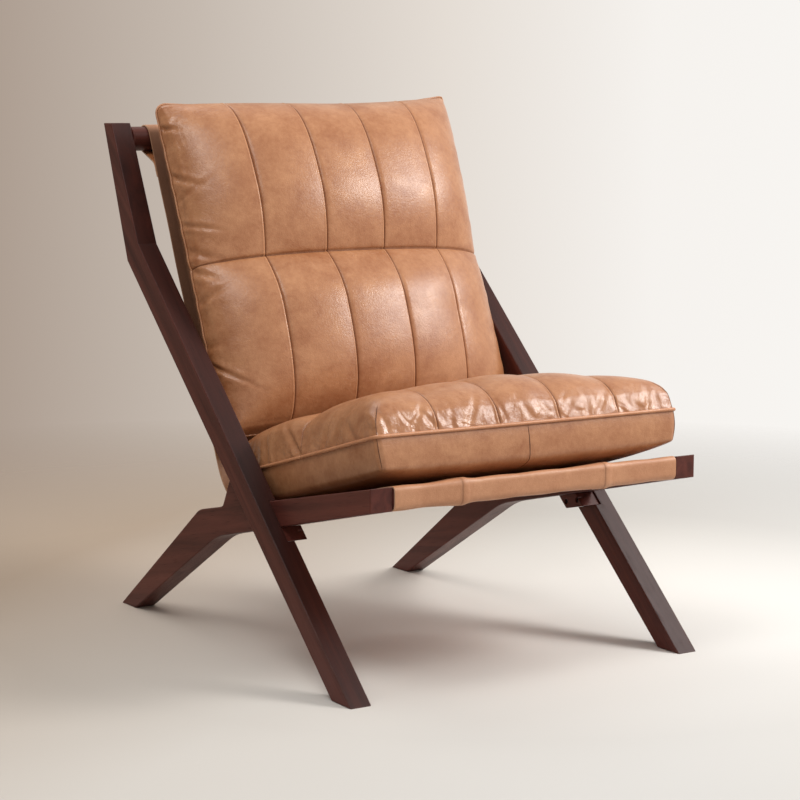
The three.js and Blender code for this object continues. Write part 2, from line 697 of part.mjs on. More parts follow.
// Round cord sewn along the welt, standing off it by half its thickness.
function pipingSolid(welt, diameter) {
  const radius = diameter / 2;
  const positions = [];
  const triangles = [];
  for (const { u, v, w, outward } of welt) {
    for (let i = 0; i < PIPING_SIDES; i += 1) {
      const angle = (2 * Math.PI * i) / PIPING_SIDES;
      const out = radius + PIPING_GAP + radius * Math.cos(angle);
      positions.push(u + outward.x * out, v + outward.y * out, w + radius * Math.sin(angle));
    }
  }
  welt.forEach((_, i) => {
    const here = i * PIPING_SIDES;
    const next = ((i + 1) % welt.length) * PIPING_SIDES;
    for (let k = 0; k < PIPING_SIDES; k += 1) {
      const over = (k + 1) % PIPING_SIDES;
      triangles.push(here + k, next + k, next + over, here + k, next + over, here + over);
    }
  });
  const geometry = new THREE.BufferGeometry();
  geometry.setAttribute('position', new THREE.Float32BufferAttribute(positions, 3));
  geometry.setIndex(triangles);
  return solidOf(geometry);
}

// The same cushion smaller all round by an inset and under the quilted face's padding, without
// its sewn lines, for a core or a hollow.
function insetSolid(size, inset) {
  const small = {
    ...size,
    halfWidth: size.halfWidth - inset,
    length: size.length - 2 * inset,
    corner: size.corner - inset,
    boxing: size.boxing - 2 * inset,
    crown: size.crown - Math.max(size.seam, size.crossSeam) - QUILT_PADDING,
    seam: 0,
    crossSeam: 0,
  };
  return cushionSurface(small, faceStops(size, false)).solid.translate([0, inset, inset]);
}

// Flat bar across the boxing where a cushion's zip lies, at its far end (1) or its near end (-1).
function zipBar(size, atEnd, gap) {
  const thickness = 2 * (BOXING_BULGE + SIDE_DRAW_IN + COVER_WALL);
  const bar = new THREE.BoxGeometry(ZIP_LENGTH + 2 * gap, thickness, ZIP_WIDTH + 2 * gap);
  const middle = size.length / 2;
  bar.translate(0, middle + atEnd * (middle - size.taper / 2), size.belly + size.boxing / 2);
  return solidOf(bar);
}

// A whole cushion in its own group: cover, core, zip and piping
function addCushion(name, size, pipingDiameter, zipAtEnd, place) {
  const { solid: outer, welt } = cushionSurface(size, faceStops(size, true));
  const walls = outer.subtract(insetSolid(size, COVER_WALL));
  const group = new THREE.Group();
  group.position.set(0, place.at.x, place.at.y);
  group.rotation.x = place.turn;
  addPiece(group, `${name}_cover`, walls.subtract(zipBar(size, zipAtEnd, ZIP_GAP)), leather);
  addPiece(group, `${name}_core`, insetSolid(size, COVER_WALL + CORE_GAP), filling);
  addPiece(group, `${name}_zip`, walls.intersect(zipBar(size, zipAtEnd, 0)), zipTape);
  addPiece(group, `${name}_piping`, pipingSolid(welt, pipingDiameter), leather);
  chair.add(group);
}

function addCushions() {
  const rest = SLING_THICKNESS / 2 + CUSHION_REST;
  const backAt = along(along(backFoot, backDirection, BACK_CUSHION_RISE), backForward, rest);
  const backSize = {
    halfWidth: postInnerX - BACK_SIDE_CLEARANCE,
    length: BACK_CUSHION_LENGTH,
    corner: CUSHION_CORNER,
    boxing: BACK_BOXING,
    crown: BACK_CROWN,
    belly: BACK_BELLY,
    seam: SEAM_DEPTH,
    crossSeam: BACK_CROSS_SEAM_DEPTH,
    taper: BACK_TAPER,
    fullness: { side: BACK_SIDE_FULLNESS, near: BACK_FOOT_FULLNESS, far: BACK_TOP_FULLNESS },
  };
  const backTurn = Math.atan2(backDirection.y, backDirection.x);
  addCushion('back_cushion', backSize, BACK_PIPING_DIAMETER, -1, { at: backAt, turn: backTurn });

  const seatLine = along(sleeveRearTop, seatUp, rest);
  const seatFront = point(seatFrontY + SEAT_FRONT_SETBACK, 0);
  const seatAt = meet(seatLine, seatDirection, seatFront, up);
  const backSeam = along(backAt, backForward, BACK_BELLY + BACK_BOXING);
  const seatSize = {
    halfWidth: lugInnerX - SEAT_SIDE_CLEARANCE,
    length: backSeam.clone().sub(seatAt).dot(seatDirection) - SEAT_REAR_CLEARANCE,
    corner: CUSHION_CORNER,
    boxing: SEAT_BOXING,
    crown: SEAT_CROWN,
    belly: SEAT_BELLY,
    seam: SEAM_DEPTH,
    crossSeam: SEAT_CROSS_SEAM_DEPTH,
    taper: SEAT_TAPER,
    fullness: { side: SEAT_SIDE_FULLNESS, near: SEAT_FRONT_FULLNESS, far: SEAT_REAR_FULLNESS },
  };
  const seatTurn = Math.atan2(seatDirection.y, seatDirection.x);
  addCushion('seat_cushion', seatSize, SEAT_PIPING_DIAMETER, 1, { at: seatAt, turn: seatTurn });
}

addSide('left', -1);
addSide('right', 1);
addBars();
addSling();
addCushions();

export default chair;
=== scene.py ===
import math
from types import SimpleNamespace

import bpy
import numpy as np
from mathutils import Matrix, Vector


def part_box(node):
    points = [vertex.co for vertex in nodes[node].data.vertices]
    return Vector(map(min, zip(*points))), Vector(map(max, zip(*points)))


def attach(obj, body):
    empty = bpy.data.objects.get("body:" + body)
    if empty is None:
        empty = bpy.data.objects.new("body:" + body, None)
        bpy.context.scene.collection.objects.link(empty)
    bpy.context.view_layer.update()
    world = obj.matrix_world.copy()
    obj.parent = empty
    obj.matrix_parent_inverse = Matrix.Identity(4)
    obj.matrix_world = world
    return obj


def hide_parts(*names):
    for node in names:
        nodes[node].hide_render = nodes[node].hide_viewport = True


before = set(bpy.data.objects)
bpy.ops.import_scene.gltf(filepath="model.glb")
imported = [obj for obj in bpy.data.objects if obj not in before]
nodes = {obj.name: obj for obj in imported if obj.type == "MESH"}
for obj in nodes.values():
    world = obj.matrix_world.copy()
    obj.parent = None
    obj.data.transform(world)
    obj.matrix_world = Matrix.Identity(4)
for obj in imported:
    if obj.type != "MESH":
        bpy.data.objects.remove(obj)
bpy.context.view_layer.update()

# Side frames: each side is a kinked post that is front leg and back upright in one, and a rail
# that is seat rail and rear leg in one. Dark red-brown hardwood, sawn from plank, edges eased,
# oiled to a satin finish, and let into each other where they cross over a small bolted cleat.


def add_node(tree, kind, inputs=None, **settings):
    """Adds a shader node, applies its settings, and fills or links its inputs by name or number."""
    made = tree.nodes.new(kind)
    for name, value in settings.items():
        setattr(made, name, value)
    for name, value in (inputs or {}).items():
        if isinstance(value, bpy.types.NodeSocket):
            tree.links.new(value, made.inputs[name])
        else:
            made.inputs[name].default_value = value
    return made


def maths(tree, operation, *values):
    """One Math node on sockets or numbers; returns its output."""
    return add_node(tree, "ShaderNodeMath", dict(enumerate(values)), operation=operation).outputs[0]


def blend_colour(tree, share, low, high):
    """Colour that goes from low to high by a share from 0 to 1; returns its output."""
    return add_node(tree, "ShaderNodeMix", {0: share, 6: low, 7: high}, data_type="RGBA").outputs[2]


def spread(tree, value, low, high, to_low=0.0, to_high=1.0):
    """Stretches a value's range low..high to to_low..to_high, held at the ends; returns its output."""
    return add_node(tree, "ShaderNodeMapRange", dict(enumerate((value, low, high, to_low, to_high)))).outputs[0]


def noise(tree, place, scale, detail, roughness=0.5, distortion=0.0):
    """Grey value of a noise texture at a place; returns its output."""
    return add_node(tree, "ShaderNodeTexNoise", {
        "Vector": place, "Scale": scale, "Detail": detail, "Roughness": roughness,
        "Distortion": distortion}).outputs["Fac"]


def measure(tree, operation, first, second=(0, 0, 0)):
    """One Vector Math node that gives a number; returns its output."""
    return add_node(tree, "ShaderNodeVectorMath", {0: first, 1: second}, operation=operation).outputs["Value"]


def scaled(tree, colour, share):
    """Colour times a share; returns its output."""
    return add_node(tree, "ShaderNodeVectorMath", {0: colour, "Scale": share}, operation="SCALE").outputs[0]


def relief(tree, strength, distance, height, **normal):
    """Bump by a height, over another Normal if one is given; returns the new normal."""
    inputs = {"Strength": strength, "Distance": distance, "Height": height, **normal}
    return add_node(tree, "ShaderNodeBump", inputs).outputs[0]


def feed(tree, made, **sources):
    """Links outputs to a node's inputs, whose names are written with underscores."""
    for socket, source in sources.items():
        tree.links.new(source, made.inputs[socket.replace("_", " ")])


def new_group(name, **outputs):
    """Shader node group that is given a place and gives outputs of named kinds; returns the group, the
    place and the output node."""
    group = bpy.data.node_groups.new(name, "ShaderNodeTree")
    group.interface.new_socket("Vector", in_out="INPUT", socket_type="NodeSocketVector")
    for socket, kind in outputs.items():
        group.interface.new_socket(socket, in_out="OUTPUT", socket_type="NodeSocket" + kind)
    return group, group.nodes.new("NodeGroupInput").outputs["Vector"], group.nodes.new("NodeGroupOutput")


def new_material(name, **constants):
    """Material with one Principled shader; constants go on its own sockets. Returns both and the tree."""
    material = bpy.data.materials.new(name)
    material.use_nodes = True
    tree = material.node_tree
    shader = tree.nodes["Principled BSDF"]
    for socket, value in constants.items():
        shader.inputs[socket.replace("_", " ")].default_value = value
    return material, tree, shader


WOOD_DARK = (0.043, 0.0104, 0.0076, 1)
WOOD_RED = (0.105, 0.0268, 0.0184, 1)
WOOD_PORE = (0.012, 0.004, 0.004, 1)
# Paler colour of the painted highlight along the wood's edges.
WOOD_EDGE_HIGHLIGHT = (0.15, 0.062, 0.050, 1)
FIGURE_SCALE = (1.6, 34.0, 34.0)
PORE_SCALE = (24.0, 900.0, 900.0)
EASED_EDGE = 0.0022
POST_TURN = (math.radians(-42.5), 0, math.radians(-90))
RAIL_TURN = (math.radians(11.8), 0, math.radians(-90))

# The grain runs along the group's x axis: slow along it, quick across, with dark pores.
wood, place, grain = new_group("wood_grain", Color="Color", Roughness="Float", Height="Float")
drawn, fine = (add_node(wood, "ShaderNodeMapping", {0: place, 3: scale}).outputs[0]
               for scale in (FIGURE_SCALE, PORE_SCALE))
streak = spread(wood, noise(wood, drawn, 1.0, 5.0, 0.62, 0.8), 0.32, 0.70)
pores = spread(wood, noise(wood, fine, 1.0, 2.0), 0.60, 0.72)
stain_and_shade = blend_colour(wood, streak, WOOD_DARK, WOOD_RED)
dull = maths(wood, "MULTIPLY_ADD", pores, 0.18, 0.42)
feed(wood, grain, Color=blend_colour(wood, maths(wood, "MULTIPLY", pores, 0.6), stain_and_shade, WOOD_PORE),
     Roughness=maths(wood, "MULTIPLY_ADD", streak, -0.08, dull),
     Height=maths(wood, "SUBTRACT", maths(wood, "MULTIPLY", streak, 0.35), pores))


def wood_material(name, turn, edges, faces):
    """Satin dark wood with its grain turned to run along a piece, and paler along its edges as a painted
    highlight. Its stain is scaled by the share `faces` on faces that point sideways and by `edges` on faces square
    to them, as painted shade and light."""
    material, tree, shader = new_material(name, Specular_IOR_Level=0.20)
    place = add_node(tree, "ShaderNodeTexCoord").outputs
    turned = add_node(tree, "ShaderNodeMapping", {0: place["Object"], 2: turn}).outputs[0]
    grain = add_node(tree, "ShaderNodeGroup", {"Vector": turned}, node_tree=wood).outputs
    eased = add_node(tree, "ShaderNodeBevel", {"Radius": EASED_EDGE}, samples=6).outputs[0]
    flat = add_node(tree, "ShaderNodeNewGeometry").outputs["True Normal"]
    # Painted highlight: where the bevelled normal turns from the flat one, the colour is blended paler.
    edge = spread(tree, measure(tree, "DOT_PRODUCT", eased, flat), 0.985, 0.80)
    facing = add_node(tree, "ShaderNodeSeparateXYZ", {0: place["Normal"]}).outputs["X"]
    # Painted shade and light: the stain is darkened or lightened by which way the face points.
    plank = spread(tree, maths(tree, "ABSOLUTE", facing), 0.3, 0.9, edges, faces)
    stain_and_shade = scaled(tree, grain["Color"], plank)
    feed(tree, shader,
         Base_Color=blend_colour(tree, maths(tree, "MULTIPLY", edge, 0.55), stain_and_shade, WOOD_EDGE_HIGHLIGHT),
         Roughness=grain["Roughness"],
         Normal=relief(tree, 0.25, 0.0004, grain["Height"], Normal=eased))
    return material


def dress(node, material):
    """Gives a CAD node one material in place of its own."""
    nodes[node].data.materials.clear()
    nodes[node].data.materials.append(material)


# The mapping brings each piece's length onto the x axis: posts lean back, rails fall to the rear.
# The last two numbers are painted shade and light: they darken the posts' front and rear faces and lighten the
# sideways faces, and the rails' other faces too.
post_wood = wood_material("post_wood", POST_TURN, 0.50, 1.15)
rail_wood = wood_material("rail_wood", RAIL_TURN, 1.1, 1.25)
for side in ("left", "right"):
    dress(f"{side}_post", post_wood)
    dress(f"{side}_side_rail", rail_wood)
    dress(f"{side}_cleat", rail_wood)


# Bars: a turned round bar joins the tops of the posts and a square bar joins the rails' front
# ends. Both are of the frame's wood, tenoned and glued into the sides.
BAR_CENTRE = tuple(sum(end[axis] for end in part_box("top_bar")) / 2 for axis in (1, 2))
BAR_RADIUS = 0.0215
BAR_HALF = 0.3017
BAR_TENON_RADIUS = 0.009
BAR_TENON_END = 0.324
BAR_EASE = 0.0012
BAR_SIDES = 96


def new_object(name, data):
    """Object of the data, linked to the scene."""
    made = bpy.data.objects.new(name, data)
    bpy.context.scene.collection.objects.link(made)
    return made


def new_mesh(name, points, quads, others=None):
    """Mesh object from an array of points, an array of quads and, if any, an array of its other faces."""
    mesh = bpy.data.meshes.new(name)
    faces = quads.tolist() + ([] if others is None else others.tolist())
    mesh.from_pydata(points.reshape(-1, 3).tolist(), [], faces)
    mesh.shade_smooth()
    mesh.update()
    return new_object(name, mesh)


def grid_quads(rows, columns, wrap=False, first=0):
    """Quads of a grid of points counted row by row; wrap joins the last column to the first."""
    i, j = np.meshgrid(np.arange(rows - 1), np.arange(columns if wrap else columns - 1), indexing="ij")
    a, b = first + i * columns + j, first + i * columns + (j + 1) % columns
    return np.stack([a, b, b + columns, a + columns], -1).reshape(-1, 4)


def once_round(sides):
    """Angles once round, in even steps."""
    return np.linspace(0, 2 * np.pi, sides, endpoint=False)


def turned_bar():
    """Points of the top bar: one end's profile and its mirror image, carried round the bar's axis."""
    end = np.array([[BAR_TENON_END, BAR_TENON_RADIUS], [BAR_HALF, BAR_TENON_RADIUS],
                    [BAR_HALF, BAR_RADIUS - BAR_EASE], [BAR_HALF - BAR_EASE, BAR_RADIUS]])
    profile = np.concatenate([end * (-1, 1), end[::-1]])
    angle = once_round(BAR_SIDES)
    x, radius = profile[:, :1], profile[:, 1:]
    ring = np.ones_like(angle)
    return np.stack([x * ring, BAR_CENTRE[0] + radius * np.cos(angle), BAR_CENTRE[1] + radius * np.sin(angle)], -1)


bar_points = turned_bar()
bar_ends = np.stack([np.arange(BAR_SIDES)[::-1], (len(bar_points) - 1) * BAR_SIDES + np.arange(BAR_SIDES)])
top_rail = new_mesh("turned_top_bar", bar_points, grid_quads(len(bar_points), BAR_SIDES, wrap=True), bar_ends)
top_rail.data.set_sharp_from_angle(angle=math.radians(35))
bar_wood = wood_material("bar_wood", (0, 0, 0), 1.0, 1.1)
top_rail.data.materials.append(bar_wood)
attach(top_rail, "frame")
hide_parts("top_bar")
dress("front_bar", bar_wood)


# Bolts: socket-head bolts of blackened steel, sunk in the inner faces of the rails and cleats.
# Two hold each lap and two hold each cleat, and their oxide is worn in patches.
def worn_metal(name, scale, detail, roughness, dark, bright):
    """Blackened metal, brighter and smoother where a noise says that its oxide wears away."""
    material, tree, shader = new_material(name, Metallic=0.9)
    place = add_node(tree, "ShaderNodeTexCoord").outputs["Object"]
    wear_and_highlight = spread(tree, noise(tree, place, scale, detail, roughness), 0.35, 0.7)
    feed(tree, shader, Base_Color=blend_colour(tree, wear_and_highlight, dark, bright),
         Roughness=maths(tree, "MULTIPLY_ADD", wear_and_highlight, -0.15, 0.5))
    return material


bolt_steel = worn_metal("bolt_steel", 420.0, 4.0, 0.6, (0.018, 0.017, 0.017, 1), (0.060, 0.057, 0.055, 1))
for side in ("left", "right"):
    for bolt in ("lap_bolt_low", "lap_bolt_high", "cleat_bolt_front", "cleat_bolt_rear"):
        dress(f"{side}_{bolt}", bolt_steel)


# Sling: one sheet of thick tan leather, cut in three lengths and seamed, smooth side to the sitter
# and rough side to the rear. Its front end is sleeved round the square bar and sewn back under
# the seat, and its top end goes over the turned bar and is sewn down behind.
SLING_HALF = 0.2725
SLING_THICK = 0.0034
# Places and directions in the side view are pairs of y and z.
SLEEVE = np.array([(-0.43730, 0.30446), (-0.39530, 0.29568), (-0.39530, 0.33093), (-0.43730, 0.33970)])
SEAT_RUN = np.array([math.cos(math.radians(15)), -math.sin(math.radians(15))])
SEAT_RISE = np.array([-SEAT_RUN[1], SEAT_RUN[0]])
BACK_RUN = np.array([math.sin(math.radians(23.7)), math.cos(math.radians(23.7))])
BACK_RISE = np.array([-BACK_RUN[1], BACK_RUN[0]])
SEAT_END = np.array([-0.04713, 0.23764])
BACK_FOOT = np.array([0.13513, 0.29625])
SEAT_TURN = 0.080
BACK_TURN = 0.075
FRONT_HEM = 0.040
TOP_FLAP = 0.030
TOP_HEM = 0.028
LAYER = SLING_THICK + 0.0002
SLEEVE_EASE = 0.0085
SLING_STEP = 0.002
SLING_WIDE_STEP = 0.009
SLING_ENDS = (0.26, 0.20)
PANEL_SEAMS = (-0.1505, 0.1255)
SEAM_STEP = 0.0012
LAP_RISE, LAP_OFF, LAP_WIDTH = 0.0011, 0.005, 0.007
LAP_CUT = 0.0010
CUT_WIDTH = 0.0012
SLEEVE_HUMP, HUMP_OFF, HUMP_WIDTH = 0.0020, 0.004, 0.022
HIDE_WAVE = 0.0006


def eased_corners(corners, ease, steps=7):
    """Line through corners, each inner one rounded by a quadratic curve from `ease` before it to after it."""
    line = [corners[:1]]
    t = np.linspace(0, 1, steps)[:, None]
    for before, at, after in zip(corners[:-2], corners[1:-1], corners[2:]):
        start = at + (before - at) / np.linalg.norm(before - at) * ease
        end = at + (after - at) / np.linalg.norm(after - at) * ease
        line.append((1 - t) ** 2 * start + 2 * t * (1 - t) * at + t ** 2 * end)
    return np.concatenate([*line, corners[-1:]])


def sling_line():
    """Side view of the sheet's middle: hem, sleeve, seat, one turn, back, round the top bar, flap."""
    under = SLEEVE[2] - SEAT_RISE * LAYER
    sleeve = eased_corners(np.array([
        under + SEAT_RUN * FRONT_HEM, under - SEAT_RISE * 0.001,
        SLEEVE[1], SLEEVE[0], SLEEVE[3], SLEEVE[2], SEAT_END]), SLEEVE_EASE)
    t = np.linspace(0, 1, 40)[:, None]
    turn = ((1 - t) ** 3 * SEAT_END + 3 * t * (1 - t) ** 2 * (SEAT_END + SEAT_RUN * SEAT_TURN)
            + 3 * t ** 2 * (1 - t) * (BACK_FOOT - BACK_RUN * BACK_TURN) + t ** 3 * BACK_FOOT)
    radius = BAR_RADIUS + 0.0003 + SLING_THICK / 2
    centre = np.array(BAR_CENTRE)
    back_top = centre + BACK_RISE * radius
    sewn = back_top - BACK_RUN * (TOP_FLAP + radius) - BACK_RISE * LAYER
    reach = np.linalg.norm(sewn - centre)
    leave = math.atan2(*(sewn - centre)[::-1]) + math.acos(radius / reach)
    start = math.atan2(BACK_RISE[1], BACK_RISE[0])
    angle = np.linspace(start, leave - 2 * math.pi if leave > start else leave, 48)[:, None]
    round_bar = centre + radius * np.concatenate([np.cos(angle), np.sin(angle)], 1)
    flap = eased_corners(np.array([round_bar[-1], sewn, sewn - BACK_RUN * TOP_HEM]), 0.008)
    return np.concatenate([sleeve[:-1], turn, round_bar, flap[1:]])


def evenly(line, step):
    """The same line at points about one step apart, with its distance from the start."""
    ahead = np.concatenate([[0], np.cumsum(np.linalg.norm(np.diff(line, axis=0), axis=1))])
    at = np.linspace(0, ahead[-1], int(ahead[-1] / step) + 1)
    return np.stack([np.interp(at, ahead, line[:, k]) for k in range(line.shape[1])], 1), at


def ramp(rise, run=1):
    """Rise over run, held from 0 to 1."""
    return np.clip(rise / run, 0, 1)


def close_stops(low, high, marks, near, far, reach):
    """Stops from low to high, `near` apart at the marks and growing to `far` apart past `reach` of them."""
    x = np.linspace(low, high, 20001)
    off = np.min(np.abs(x[:, None] - np.asarray(marks)), axis=1)
    density = 1 / (near + (far - near) * ramp(off, reach) ** 1.5)
    share = np.concatenate([[0], np.cumsum((density[1:] + density[:-1]) / 2)])
    count = int(share[-1] * (x[1] - x[0])) + 1
    return np.interp(np.linspace(0, share[-1], count + 1), share, x)


def unit(vectors):
    """Vectors divided by their lengths."""
    return vectors / np.maximum(np.linalg.norm(vectors, axis=-1, keepdims=True), 1e-12)


def fall(off, reach):
    """Falls from 1 as e to the minus distance over reach."""
    return np.exp(-off / reach)


def bell(off, width):
    """Falls from 1 as e to the minus square of distance over width."""
    return np.exp(-((off / width) ** 2))


def set_field(made, name, values):
    """Stores one value for each point of a mesh, for its material to read."""
    field = made.data.attributes.new(name, "FLOAT", "POINT")
    field.data.foreach_set("value", values.astype(np.float32).ravel())


even_side, even_at = evenly(sling_line(), SLING_STEP)
ends = np.concatenate([np.arange(0, SLING_ENDS[0], 0.01), even_at[-1] - np.arange(0, SLING_ENDS[1], 0.01)])
sling_at = close_stops(0, even_at[-1], ends, SLING_STEP, SLING_WIDE_STEP, 0.08)
sling_side = np.stack([np.interp(sling_at, even_at, even_side[:, k]) for k in (0, 1)], 1)
sling_x = close_stops(-SLING_HALF, SLING_HALF, (*PANEL_SEAMS, -SLING_HALF, SLING_HALF), SEAM_STEP, 0.012, 0.05)
down_sheet = sling_at[:, None]
ahead = unit(np.gradient(sling_side, axis=0))
outward = np.stack([-ahead[:, 1], ahead[:, 0]], 1)
# The two lapped seams stand up a little, with a line where the upper length ends. The hide waves a
# little between them, and on the sleeve it humps over the laps.
lap = sum(LAP_RISE * np.exp(-(((sling_x - x - LAP_OFF) / LAP_WIDTH) ** 4))
          - LAP_CUT * fall(np.abs(sling_x - x), CUT_WIDTH) for x in PANEL_SEAMS)
wave = (HIDE_WAVE * np.sin(down_sheet * 41 + 3 * np.sin(sling_x * 17))
        * np.sin(sling_x * 23 + 1.3) * ramp(down_sheet / 0.2 - 1))
hump = (sum(SLEEVE_HUMP * bell(sling_x - x - HUMP_OFF, HUMP_WIDTH) for x in PANEL_SEAMS)
        + HIDE_WAVE * np.sin(sling_x * 71 + 0.8))
on_sleeve = ramp(SLING_ENDS[0] - down_sheet, 0.04)
lift = lap + wave + hump * on_sleeve * ramp(down_sheet / 0.06 - 0.5)
side_points = sling_side[:, None] + outward[:, None] * lift[..., None]
sling_points = np.concatenate([np.broadcast_to(sling_x[:, None], (*lift.shape, 1)), side_points], -1)
sling = new_mesh("leather_sling", sling_points, grid_quads(len(sling_side), len(sling_x)))
# The cut lines are dark, and the margins of the back are darkened as painted shade, where the cushion and the
# posts shade them.
seam_line = 0.6 * sum(fall(np.abs(sling_x - x), CUT_WIDTH) for x in PANEL_SEAMS)
painted_margin_shade = (ramp(np.abs(sling_x) - 0.246, 0.008) * ramp(down_sheet - 0.78, 0.10)
          * ramp(sling_at[-1] - 0.14 - down_sheet, 0.03))
set_field(sling, "seam", np.maximum(seam_line, painted_margin_shade))
thick = sling.modifiers.new("hide_thickness", "SOLIDIFY")
thick.thickness = SLING_THICK - 0.0004
thick.offset = 0
thick.material_offset = 1
thick.material_offset_rim = 2
rounded = sling.modifiers.new("cut_edge", "BEVEL")
rounded.width = 0.0007
rounded.segments = 2
rounded.limit_method = "ANGLE"
rounded.angle_limit = math.radians(60)

# Leather in small: cloudy dye, fine lines and a pebbled grain, all in metres on Object coordinates.
hide, place, skin = new_group("leather_skin", Cloud="Float", Fleck="Float", Height="Float")
cloud = noise(hide, place, 19.0, 6.0, 0.66, 0.25)
fleck = noise(hide, place, 120.0, 4.0, 0.65)
crackle = noise(hide, place, 230.0, 3.0, 0.6)
pebble = add_node(hide, "ShaderNodeTexVoronoi", {"Vector": place, "Scale": 620.0}, feature="F1")
feed(hide, skin, Cloud=spread(hide, cloud, 0.32, 0.68), Fleck=spread(hide, fleck, 0.32, 0.68),
     Height=maths(hide, "MULTIPLY_ADD", pebble.outputs["Distance"], -0.5, crackle))


def leather_material(name, deep, pale, dark, roughness, grain=0.42):
    """Dyed leather: cloudy between two tans, dark and dull along the `seam` attribute, which holds dark seam lines
    and painted shade, paler where a second attribute paints a highlight, crumpled where `slack` says, with a fine
    pebbled grain."""
    material, tree, shader = new_material(name, Specular_IOR_Level=0.48)
    place = add_node(tree, "ShaderNodeTexCoord").outputs["Object"]
    skin = add_node(tree, "ShaderNodeGroup", {"Vector": place}, node_tree=hide).outputs
    seam, seam_highlight, slack = (add_node(tree, "ShaderNodeAttribute", attribute_name=field).outputs["Fac"]
                        for field in ("seam", "seam_highlight", "slack"))
    tone = maths(tree, "MULTIPLY_ADD", skin["Fleck"], 0.30, maths(tree, "MULTIPLY", skin["Cloud"], 0.70))
    dyed = blend_colour(tree, tone, deep, pale)
    # Painted highlight: a paler tan on the ridge beside each sewn line.
    highlight_tan = tuple(min(1.0, 1.45 * value) for value in pale)
    wear_and_highlight = blend_colour(tree, maths(tree, "MULTIPLY", seam_highlight, 0.34), dyed, highlight_tan)
    gloss = maths(tree, "MULTIPLY_ADD", skin["Cloud"], -0.10, roughness)
    gloss = maths(tree, "MULTIPLY_ADD", slack, -0.09, gloss)
    crumple = maths(tree, "SUBTRACT", noise(tree, place, 27.0, 1.6, 0.5, 0.9), 0.5)
    folds = relief(tree, 0.55, 0.011, maths(tree, "MULTIPLY", crumple, slack))
    feed(tree, shader,
         Base_Color=blend_colour(tree, maths(tree, "MULTIPLY", seam, 0.85), wear_and_highlight, dark),
         Roughness=maths(tree, "MULTIPLY_ADD", seam, 0.45, gloss),
         Normal=relief(tree, grain, 0.0008, skin["Height"], Normal=folds))
    return material


def sewn_bead(path, normal, half_width, height, sides=8):
    """Points of a closed flat bead: the path's two ends, then an ellipse square to the path at each step between
    them, drawn in towards both ends by the root of a sine."""
    run = unit(np.gradient(path, axis=0))
    across = unit(np.cross(run, normal))
    over = np.cross(across, run)
    swell = np.sqrt(np.abs(np.sin(np.linspace(0, np.pi, len(path)))))[:, None, None]
    angle = once_round(sides)[None, :, None]
    ellipse = half_width * np.cos(angle) * across[:, None] + height * np.sin(angle) * over[:, None]
    return np.concatenate([path[[0, -1]], (path[:, None] + swell * ellipse)[1:-1].reshape(-1, 3)])


def bead_faces(rings, sides, first=0):
    """Quads between the rings of such a bead and the fans of triangles that close its ends, facing outwards."""
    near = first + 2 + np.arange(sides)
    far = near + (rings - 1) * sides
    fans = [np.stack([near, np.roll(near, -1), np.full(sides, first)], 1),
            np.stack([np.roll(far, -1), far, np.full(sides, first + 1)], 1)]
    return grid_quads(rings, sides, wrap=True, first=first + 2)[:, ::-1], np.concatenate(fans)


def bead_mesh(name, beads, sides):
    """One mesh object of several beads, each an array of points from sewn_bead."""
    starts = np.cumsum([0] + [len(bead) for bead in beads])
    made = [bead_faces((len(bead) - 2) // sides, sides, first) for bead, first in zip(beads, starts)]
    return new_mesh(name, np.concatenate(beads), np.concatenate([quads for quads, _ in made]),
                    np.concatenate([fans for _, fans in made]))


sling_leather = leather_material(
    "sling_leather", (0.380, 0.161, 0.074, 1), (0.507, 0.246, 0.127, 1), (0.075, 0.030, 0.014, 1), 0.52)
sling_flesh = leather_material(
    "sling_flesh", (0.36, 0.110, 0.034, 1), (0.50, 0.170, 0.055, 1), (0.18, 0.055, 0.020, 1), 0.85, grain=1.0)
sling_edge = leather_material(
    "sling_edge", (0.50, 0.29, 0.17, 1), (0.62, 0.38, 0.24, 1), (0.30, 0.15, 0.08, 1), 0.65, grain=0.6)
for material in (sling_leather, sling_flesh, sling_edge):
    sling.data.materials.append(material)
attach(sling, "frame")
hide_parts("sling")


STITCH_SIDES = 6
STITCH_STEPS = 6
STITCH_BEAD = (0.00055, 0.0005)


def hem_stitches(at, pitch=0.0062, length=0.0044):
    """One row of stitches across the sheet at a distance along it: a short bead for each, on its outer side."""
    row = int(np.argmin(np.abs(sling_at - at)))
    path = np.zeros((STITCH_STEPS, 3))
    path[:, 0] = np.linspace(-length / 2, length / 2, STITCH_STEPS)
    bead = sewn_bead(path, np.broadcast_to((0, *outward[row]), path.shape), *STITCH_BEAD, STITCH_SIDES)
    x = np.arange(-SLING_HALF + 0.011, SLING_HALF - 0.010, pitch)
    off = SLING_THICK / 2 - 0.0001 + np.interp(x, sling_x, lift[row])
    centre = np.concatenate([x[:, None], sling_side[row] + off[:, None] * outward[row]], 1)
    return centre[:, None] + bead


stitch_rows = np.concatenate([hem_stitches(at) for at in (
    0.008, 0.016, float(sling_at[-1]) - 0.018, float(sling_at[-1]) - 0.010)])
stitches = bead_mesh("sling_stitches", stitch_rows, STITCH_SIDES)
thread = leather_material("waxed_thread", (0.46, 0.27, 0.15, 1), (0.60, 0.38, 0.23, 1), (0.20, 0.10, 0.05, 1), 0.6)
stitches.data.materials.append(thread)
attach(stitches, "frame")


